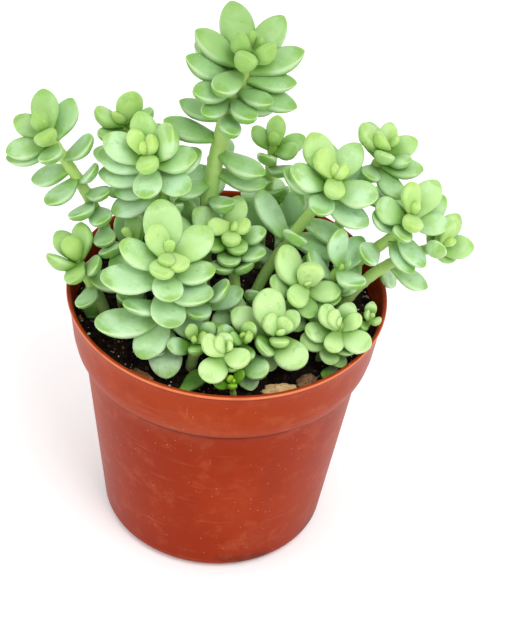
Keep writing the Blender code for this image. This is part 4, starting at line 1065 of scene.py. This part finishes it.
def leaf_surfaces(leaves, seed):
    """Points of every leaf, one row a leaf: rings of (station, side), then its tip and its root.

    The section is |sin| to a power above and below, a plump oval. The upper face of an older leaf dips a
    little along its middle, and each leaf bends and twists slightly by a seeded draw.
    """
    draw = np.random.default_rng(seed)
    count = len(leaves["length"])
    turn = np.linspace(0, 2 * np.pi, ROUND_LEAF, endpoint=False)
    turn = turn - RIM_BUNCHING * np.sin(2 * turn)
    sine, cosine = np.sin(turn), np.cos(turn)
    age, length = leaves["age"][:, None, None], FINER_LENGTH * leaves["length"][:, None, None]
    tip, neck = FINER_TIP * leaves["tip"][:, None, None], leaves["neck"][:, None, None]
    station = STATIONS[None, :, None]
    broader = 1 + WIDTH_DRAW * (draw.random((count, 1, 1)) - 0.5)
    half = outline(station, tip, neck) * length / 2 * broader
    dished = np.clip((leaves["wide"] - 0.5) * 8, 0, 1)[:, None, None] * np.clip(2 * age, 0, 1)
    upper = UPPER_FACE * np.abs(sine) ** LENS_UPPER * (1 - (0.15 + 0.55 * dished) * np.abs(sine) ** 2)
    lower = LOWER_FACE * np.abs(sine) ** LENS_LOWER
    width, thickness = (share[:, None, None] for share in leaf_size(leaves))
    aside = width * cosine * half
    lift = thickness * np.where(sine > 0, upper, -lower) * half * FINER_LIFT
    twist = TWIST_DRAW * (draw.random((count, 1, 1)) - 0.5) * station
    aside, lift = aside * np.cos(twist) - lift * np.sin(twist), aside * np.sin(twist) + lift * np.cos(twist)
    sway = SWAY_DRAW * (draw.random((count, 1, 1)) - 0.5) * length
    way, face = leaves["way"][:, None, None], leaves["face"][:, None, None]
    across = np.cross(leaves["face"], leaves["way"])[:, None, None]

    def midline(share):
        forward = way + (share * LEAF_CURL)[..., None] * face
        return leaves["base"][:, None, None] + (share * length)[..., None] * forward

    points = midline(station) + (aside + sway * station**2)[..., None] * across + lift[..., None] * face
    ends = midline(np.array([1.0, 0.0])[None, None]) + (sway * [1.0, 0.0])[..., None] * across
    along = np.broadcast_to(station, aside.shape).reshape(count, -1)
    upward = np.broadcast_to(sine, aside.shape).reshape(count, -1)
    points = np.concatenate([points.reshape(count, -1, 3), ends.reshape(count, 2, 3)], axis=1)
    along = np.concatenate([along, np.tile([1.0, 0.0], (count, 1))], axis=1)
    upward = np.concatenate([upward, np.zeros((count, 2))], axis=1)
    values = dict(
        along=along, upward=upward, age=np.broadcast_to(leaves["age"][:, None], along.shape),
        draw=np.broadcast_to(draw.random((count, 1)), along.shape),
    )
    return points, values


def leaf_faces(count):
    """The faces of that many leaves whose points come one leaf after another."""
    rows, columns = len(STATIONS), ROUND_LEAF
    ring_points = rows * columns
    quads, root, tip = closed_faces(rows, columns, ring_points + 1, ring_points)
    ends = np.concatenate([tip, root])
    start = (np.arange(count) * (ring_points + 2))[:, None, None]
    return [(quads[None] + start).reshape(-1, 4), (ends[None] + start).reshape(-1, 3)]


def stem_surface(shoot, line, leaf_heights):
    """The stem's points, then its tip and its root, with a low swelling at each leaf and each scar below.

    Its radius is the solid's, times 1 plus a bell for each swelling, on the side where its leaf grew, and
    times 1 plus a wave round it with three crests.
    """
    far = distance_along(line)
    at = np.linspace(0, far[-1], max(30, int(far[-1] / STEM_RING_SPACING)))
    picked = np.stack([np.interp(at, far, line[:, axis]) for axis in range(3)], axis=1)
    along, side = stem_frame(picked)
    turn = np.linspace(0, 2 * np.pi, STEM_ROUND, endpoint=False)
    scars = np.arange(1.5 * MM, max(leaf_heights.min(), 2 * MM), SCAR_SPACING)
    nodes = np.concatenate([leaf_heights, scars])
    bells = np.exp(-((at[:, None] - nodes) / SWELLING_LENGTH) ** 2)
    leaning = np.cos(turn[None, None] - np.radians(GOLDEN_TURN) * np.arange(len(nodes))[None, :, None])
    swelling = (bells[..., None] * (0.55 + 0.45 * leaning)).max(axis=1)
    radius = stem_radius(picked, shoot)[:, None] * (1 + SWELLING_HEIGHT * swelling)
    radius = radius * (1 + OUT_OF_ROUND * np.sin(3 * turn + at[:, None] * OUT_OF_ROUND_TURN))
    across = np.cross(along, side)
    rings = picked[:, None] + radius[..., None] * (
        side[:, None] * np.cos(turn)[:, None] + across[:, None] * np.sin(turn)[:, None]
    )
    points = np.concatenate([rings.reshape(-1, 3), picked[-1:] + along[-1:] * 0.4 * MM, picked[:1]])
    share = np.repeat(at / far[-1], STEM_ROUND)
    swollen = swelling.reshape(-1)
    values = dict(
        along=np.concatenate([share, [1, 0]]), upward=np.concatenate([swollen, [0, 0]]),
        age=np.concatenate([1 - share, [0, 1]]), draw=np.full(len(points), 0.5),
    )
    return points, values, closed_faces(len(at), STEM_ROUND, len(points) - 1, len(points) - 2)


def leaf_skin():
    """Waxy green skin: yellow-green when young, blue-green under a pale bloom when grown, duller below.

    The bloom is cloudy, with whiter blotches and greener patches, thin at the neck and the tip, and thicker
    the chalkier the leaf's stem is. Pale and lime lay those tints over it. The rim is pale, the tip has a
    ragged darker spot, leaves deep in the crowd get a painted shade of darker green, and a few grains of
    dust lie on top.
    """
    made, tree, shader, place = new_material(
        "waxy_leaf", Specular_IOR_Level=0.30, Subsurface_Weight=0.45, Subsurface_Scale=2.4 * MM,
        Subsurface_Radius=(0.75, 1.0, 0.35),
    )
    names = ("age", "draw", "along", "upward", "chalk", "pale", "lime", "crowd")
    age, drawn, along, upward, chalk, pale, lime, crowd = (attribute(tree, name) for name in names)
    face = put(tree, "Math", {0: upward}, operation="ABSOLUTE").outputs[0]
    shade = plus(tree, age, times(tree, plus(tree, drawn, -0.5), 0.35))
    young = laid_over(tree, between(tree, shade, 0.0, 0.35), colour(190, 222, 122), colour(174, 212, 120))
    body = laid_over(tree, between(tree, shade, 0.25, 0.95), young, colour(146, 190, 104))
    under = times(tree, between(tree, upward, 0.1, -0.5), between(tree, age, 0.1, 0.6))
    body = painted(tree, body, under, 0.45, 138, 184, 100)
    body = painted(tree, body, between(tree, chalk, 1.0, 0.0), 0.65, 122, 168, 82)

    clouds = noise(tree, place, 4 * MM, 3.0)
    bloom = times(tree, between(tree, clouds, 0.30, 0.62, 0.55, 1.0), between(tree, age, 0.0, 0.8, 0.10, 0.9))
    bloom = times(tree, bloom, between(tree, upward, -0.7, 0.5, 0.25, 1.0))
    bloom = times(tree, bloom, between(tree, chalk, 0.0, 1.0, 0.3, 1.0))
    bloom = times(tree, times(tree, bloom, between(tree, along, 0.10, 0.42)), between(tree, along, 1.0, 0.72))
    body = laid_over(tree, bloom, body, colour(192, 228, 192))
    blotch = noise(tree, place, 3 * MM, 5.0, 0.62)
    whiter = times(tree, between(tree, blotch, 0.48, 0.62), between(tree, age, 0.05, 0.5, 0.3, 1.0))
    whiter = times(tree, whiter, between(tree, chalk, 0.0, 1.0, 0.2, 1.0))
    body = painted(tree, body, whiter, 0.5, 212, 240, 212)
    patchy = noise(tree, stretched(tree, place, (1, 1.3, 0.8)), 4.5 * MM, 5.0, 0.65)
    body = painted(tree, body, between(tree, patchy, 0.52, 0.66), 0.36, 152, 200, 100)
    body = painted(tree, body, pale, 0.72, 210, 238, 172)
    body = painted(tree, body, lime, 0.85, 160, 212, 36)
    body = painted(tree, body, patches(tree, place, 2.2 * MM, 0.60, 0.06), 0.28, 112, 160, 84)

    rim = times(tree, between(tree, face, 0.48, 0.10), between(tree, along, 0.25, 0.5))
    rim = times(tree, rim, between(tree, upward, -0.30, -0.05))
    rim = times(tree, rim, between(tree, age, 0.15, 0.5))
    body = painted(tree, body, rim, 0.44, 232, 244, 214)
    ragged = times(tree, plus(tree, noise(tree, place, 1.6 * MM, 4.0, 0.7), -0.5), 0.45)
    spot = times(tree, between(tree, plus(tree, along, ragged), 0.80, 0.93), between(tree, face, 0.05, 0.35))
    spot = times(tree, spot, between(tree, age, 0.1, 0.5, 0.2, 0.5))
    body = laid_over(tree, spot, body, colour(126, 172, 76))
    # Painted shade: leaves deep in the crowd, under others, are a darker green.
    deep = times(tree, between(tree, crowd, 0.9, 3.8), between(tree, age, 0.08, 0.35))
    body = painted(tree, body, deep, 0.88, 94, 148, 28)
    body = painted(tree, body, specks(tree, place, 420.0, 0.085, 0.10), 0.85, 250, 252, 246)

    roughness = plus(tree, times(tree, bloom, 0.30), 0.36)
    waves = times(tree, noise(tree, place, 2.8 * MM, 2.0), 5.0)
    grain = plus(tree, noise(tree, place, 0.35 * MM, 2.0), waves)
    finish_with(tree, shader, body, roughness, grain, 0.06 * MM)
    return made


def stem_skin():
    """Smooth fleshy skin: yellow-green under the heart, browner to the soil, with painted shade in the crowd.
    """
    made, tree, shader, place = new_material(
        "fleshy_stem", Specular_IOR_Level=0.4, Subsurface_Weight=0.15, Subsurface_Scale=1.2 * MM,
        Subsurface_Radius=(0.75, 1.0, 0.35),
    )
    age, crowd, swelling = (attribute(tree, name) for name in ("age", "crowd", "upward"))
    body = laid_over(tree, between(tree, age, 0.1, 0.75), colour(184, 214, 120), colour(160, 196, 112))
    body = painted(tree, body, between(tree, age, 0.75, 1.0), 0.7, 140, 146, 84)
    body = painted(tree, body, between(tree, swelling, 0.75, 1.0), 0.35, 196, 210, 140)
    flecks = patches(tree, stretched(tree, place, (1.0, 1.0, 0.25)), 1.1 * MM, 0.58, 0.08)
    body = painted(tree, body, flecks, 0.30, 112, 130, 60)
    # Painted shade: darker where leaves crowd over the stem.
    body = painted(tree, body, between(tree, crowd, 1.0, 4.4), 0.6, 96, 138, 36)
    grain = noise(tree, stretched(tree, place, (1.0, 1.0, 0.3)), 0.6 * MM, 3.0)
    finish_with(tree, shader, body, plus(tree, times(tree, grain, 0.2), 0.38), grain, 0.08 * MM)
    return made


LEAF_SKIN = leaf_skin()
STEM_SKIN = stem_skin()

# How chalky, pale or lime green a stem's leaves are, where they differ from most. The high ones are fresher
# and a deeper green.
MOST_TONE = dict(chalk=0.85, pale=0.1, lime=0)
TONES = dict(
    crown=dict(chalk=0.2, pale=0), left_high=dict(chalk=0.4, pale=0), behind_left=dict(chalk=0.5),
    back=dict(chalk=0.4, pale=0), left_low=dict(chalk=0.45, pale=0), right_back=dict(chalk=0.6),
    far_right=dict(chalk=0.7, pale=0.2), front_left=dict(chalk=1, pale=0.3), centre=dict(pale=0.4),
    mid_right=dict(pale=0.7), front_mid=dict(pale=0.9), right_front=dict(pale=0.8),
    front_low=dict(chalk=0.9, pale=1), rim_tiny=dict(chalk=0.5, pale=0.8), bright=dict(chalk=0.3, lime=1),
    under_left=dict(chalk=0.5), under_back=dict(chalk=0.5), under_far=dict(chalk=0.6),
    under_mid=dict(chalk=0.6),
)

# The crowd over each point sets the painted shade of leaves and stems deep in the plant.
# How near the balls of a leaf crowd a point, how far above it they have to be, and points dealt with at once.
CROWD_REACH = 3.5 * MM
CROWD_RISE = 4 * MM
CROWD_BLOCK = 4000


def crowding(points, centres, radii):
    """How many leaves hang close over each point: a bell of its distance to each ball that is above it."""
    crowd = np.zeros(len(points))
    for start in range(0, len(points), CROWD_BLOCK):
        block = slice(start, start + CROWD_BLOCK)
        between_them = centres[None] - points[block, None]
        apart = np.linalg.norm(between_them, axis=-1) - radii[None]
        above = np.clip(0.5 + between_them[..., 2] / CROWD_RISE, 0, 1)
        crowd[block] = np.sum(np.exp(-(np.maximum(apart, 0) / CROWD_REACH) ** 2) * above, axis=1)
    return crowd / len(BALL_SIDES) * 2


def write_values(made, values):
    """Writes named values on a piece's points, for its material."""
    for name, value in values.items():
        written = made.data.attributes.new(name, "FLOAT", "POINT")
        written.data.foreach_set("value", np.ascontiguousarray(value.reshape(-1), dtype=np.float32))


def dress_shoot(name, shoot, line, leaves, seed):
    """One piece: the stem and its leaves, whose roots are sunk in it, standing for the shoot's solid."""
    far = distance_along(line)
    heights = far[np.argmin(np.linalg.norm(line[None] - leaves["base"][:, None], axis=-1), axis=1)]
    leaf_points, leaf_values = leaf_surfaces(leaves, seed)
    stem_points, stem_values, stem_faces = stem_surface(shoot, line, heights)
    points = np.concatenate([leaf_points.reshape(-1, 3), stem_points])
    faces = leaf_faces(len(leaves["length"]))
    leaf_count = sum(len(block) for block in faces)
    faces += [block + leaf_points.shape[0] * leaf_points.shape[1] for block in stem_faces]
    made = new_piece(name + "_stem_and_leaves", points, faces, [LEAF_SKIN, STEM_SKIN])
    skin = np.zeros(len(made.data.polygons), np.int32)
    skin[leaf_count:] = 1
    made.data.polygons.foreach_set("material_index", skin)
    values = {key: np.concatenate([leaf_values[key].reshape(-1), stem_values[key]]) for key in leaf_values}
    tone = {key: np.full(len(points), value) for key, value in {**MOST_TONE, **TONES.get(name, {})}.items()}
    write_values(made, dict(values, crowd=crowding(points, *BALLS), **tone))
    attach(made, "root")
    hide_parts("shoot_" + name)


shoots = []
for written in SHOOTS.values():
    shoot = {**PLAIN_SHOOT, **written}
    shoots.append((shoot, stem_line(shoot)))
leaves = make_room(grow(shoots), shoots)
BALLS = [values.reshape(-1, *values.shape[2:]) for values in leaf_balls(leaves)]
for number, (name, (shoot, line)) in enumerate(zip(SHOOTS, shoots)):
    mine = leaves["owner"] == number
    dress_shoot(name, shoot, line, {key: values[mine] for key, values in leaves.items()}, 40 + number)


# Three fallen leaves lie on the peat, two behind the front rim and one by the left wall. Out of the light
# they are a darker, glossier green. Places and lengths are in millimetres, turns and rises in degrees.
FALLEN_LEAVES = dict(
    fallen_leaf_left=dict(place=(-37.0, -9.6, 73.5), turn=98, rise=9, length=11.0),
    fallen_leaf_front=dict(place=(-10.0, -37.0, 73.9), turn=50, rise=6, length=9.5),
    fallen_leaf_right=dict(place=(31.0, -22.5, 73.9), turn=250, rise=6, length=8.0),
)


def fallen_leaf(place, turn, rise, length):
    """A leaf lying on the soil: its base, the way it points and its upper face."""
    across, up = math.radians(turn), math.radians(rise)
    way = np.array([math.cos(up) * math.cos(across), math.cos(up) * math.sin(across), math.sin(up)])
    face = np.array([-math.sin(up) * math.cos(across), -math.sin(up) * math.sin(across), math.cos(up)])
    leaf = dict(base=np.array(place) * MM, way=way, face=face, length=length * MM, age=1.0)
    return dict(leaf, wide=LEAF_WIDTH, thick=LEAF_THICKNESS, tip=TIP_POWER, neck=NECK_WIDTH)


def fallen_skin():
    """A shaded leaf's skin: deep green with paler streaks and a wet gloss."""
    made, tree, shader, place = new_material("fallen_leaf", Specular_IOR_Level=0.5)
    clouds = noise(tree, place, 3.5 * MM, 3.0)
    body = laid_over(tree, between(tree, clouds, 0.35, 0.68), colour(60, 108, 30), colour(124, 172, 74))
    grime = patches(tree, place, 1.5 * MM, 0.58, 0.08)
    body = painted(tree, body, grime, 0.5, 58, 66, 40)
    finish_with(tree, shader, body, plus(tree, times(tree, grime, 0.4), 0.28), clouds, 0.3 * MM)
    return made


FALLEN_SKIN = fallen_skin()
for number, (name, written) in enumerate(FALLEN_LEAVES.items()):
    leaf = {key: np.array([value]) for key, value in fallen_leaf(**written).items()}
    points, values = leaf_surfaces(leaf, 90 + number)
    made = new_piece(name + "_on_peat", points, leaf_faces(1), [FALLEN_SKIN])
    write_values(made, values)
    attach(made, "root")
    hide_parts(name)


# The photographer's table: a plain white floor under a bright even sky, with one large soft light high in
# front and a weak one low on the left. The floor glows a little, so that shadows on it stay faint.
FLOOR_REACH = 3
FLOOR_DROP = 0.05 * MM
FLOOR_WHITE = 0.985
FLOOR_GLOW = 0.13
SKY_STRENGTH = 0.93

floor_white = new_material(
    "white_floor", Base_Color=(FLOOR_WHITE, FLOOR_WHITE, FLOOR_WHITE, 1), Roughness=0.9,
    Specular_IOR_Level=0.1, Emission_Color=(1.0, 1.0, 1.0, 1), Emission_Strength=FLOOR_GLOW,
)[0]
corners = np.array([(-1, -1, 0), (1, -1, 0), (1, 1, 0), (-1, 1, 0)]) * FLOOR_REACH - [0, 0, FLOOR_DROP]
floor = new_piece("floor", corners, [np.array([[0, 1, 2, 3]])], [floor_white], smooth=False)

world = bpy.data.worlds.new("bright_room")
bpy.context.scene.world = world
world.use_nodes = True
sky = world.node_tree.nodes["Background"]
sky.inputs["Color"].default_value = (1.0, 1.0, 1.0, 1)
sky.inputs["Strength"].default_value = SKY_STRENGTH


def soft_box(name, place, aim, size, watts):
    """A round soft light, turned to face what it is aimed at."""
    light = bpy.data.lights.new(name, "AREA")
    light.shape, light.size, light.energy = "DISK", size, watts
    made = bpy.data.objects.new(name, light)
    bpy.context.scene.collection.objects.link(made)
    away = unit(np.array(place) - np.array(aim))
    side = unit(np.cross([0, 0, 1.0], away))
    turned = np.stack([side, np.cross(away, side), away], axis=1)
    made.matrix_world = Matrix.Translation(place) @ Matrix(turned.tolist()).to_4x4()


PLANT_MIDDLE = (0, 0, 0.09)
soft_box("key_light", (0.28, -0.50, 1.0), PLANT_MIDDLE, size=0.5, watts=4.4)
soft_box("fill_light", (-0.8, -0.35, 0.6), PLANT_MIDDLE, size=0.5, watts=0.7)


# The camera stands in front and above, looking down at 40 degrees, turned about its axis as the photograph
# is. RIM_PIXEL is where the middle of the pot's rim lies in the photograph, and distances are in metres.
ELEVATION = math.radians(40.1)
ROLL = math.radians(4.28)
DISTANCE = 0.63
PIXEL_FOCUS, IMAGE_WIDTH, IMAGE_HEIGHT = 2251.755, 511, 640
RIM_PIXEL = (227.2, 288.04)

back = np.array([0, -math.cos(ELEVATION), math.sin(ELEVATION)])
right = np.array([1.0, 0, 0])
up = np.cross(back, right)
turned_right = math.cos(ROLL) * right + math.sin(ROLL) * up
turned_up = -math.sin(ROLL) * right + math.cos(ROLL) * up
camera_matrix = np.eye(4)
camera_matrix[:3, :3] = np.stack([turned_right, turned_up, back], axis=1)
camera_matrix[:3, 3] = np.array([0, 0, POT_HEIGHT]) + back * DISTANCE
camera = bpy.data.cameras.new("camera")
camera.sensor_width = 36
camera.lens = PIXEL_FOCUS / IMAGE_HEIGHT * camera.sensor_width
camera.shift_x = (IMAGE_WIDTH / 2 - RIM_PIXEL[0]) / IMAGE_HEIGHT
camera.shift_y = -(IMAGE_HEIGHT / 2 - RIM_PIXEL[1]) / IMAGE_HEIGHT
camera.clip_start = 0.01
camera_object = bpy.data.objects.new("camera", camera)
bpy.context.scene.collection.objects.link(camera_object)
camera_object.matrix_world = Matrix(camera_matrix.tolist())
bpy.context.scene.camera = camera_object
bpy.context.scene.view_settings.view_transform = "Standard"
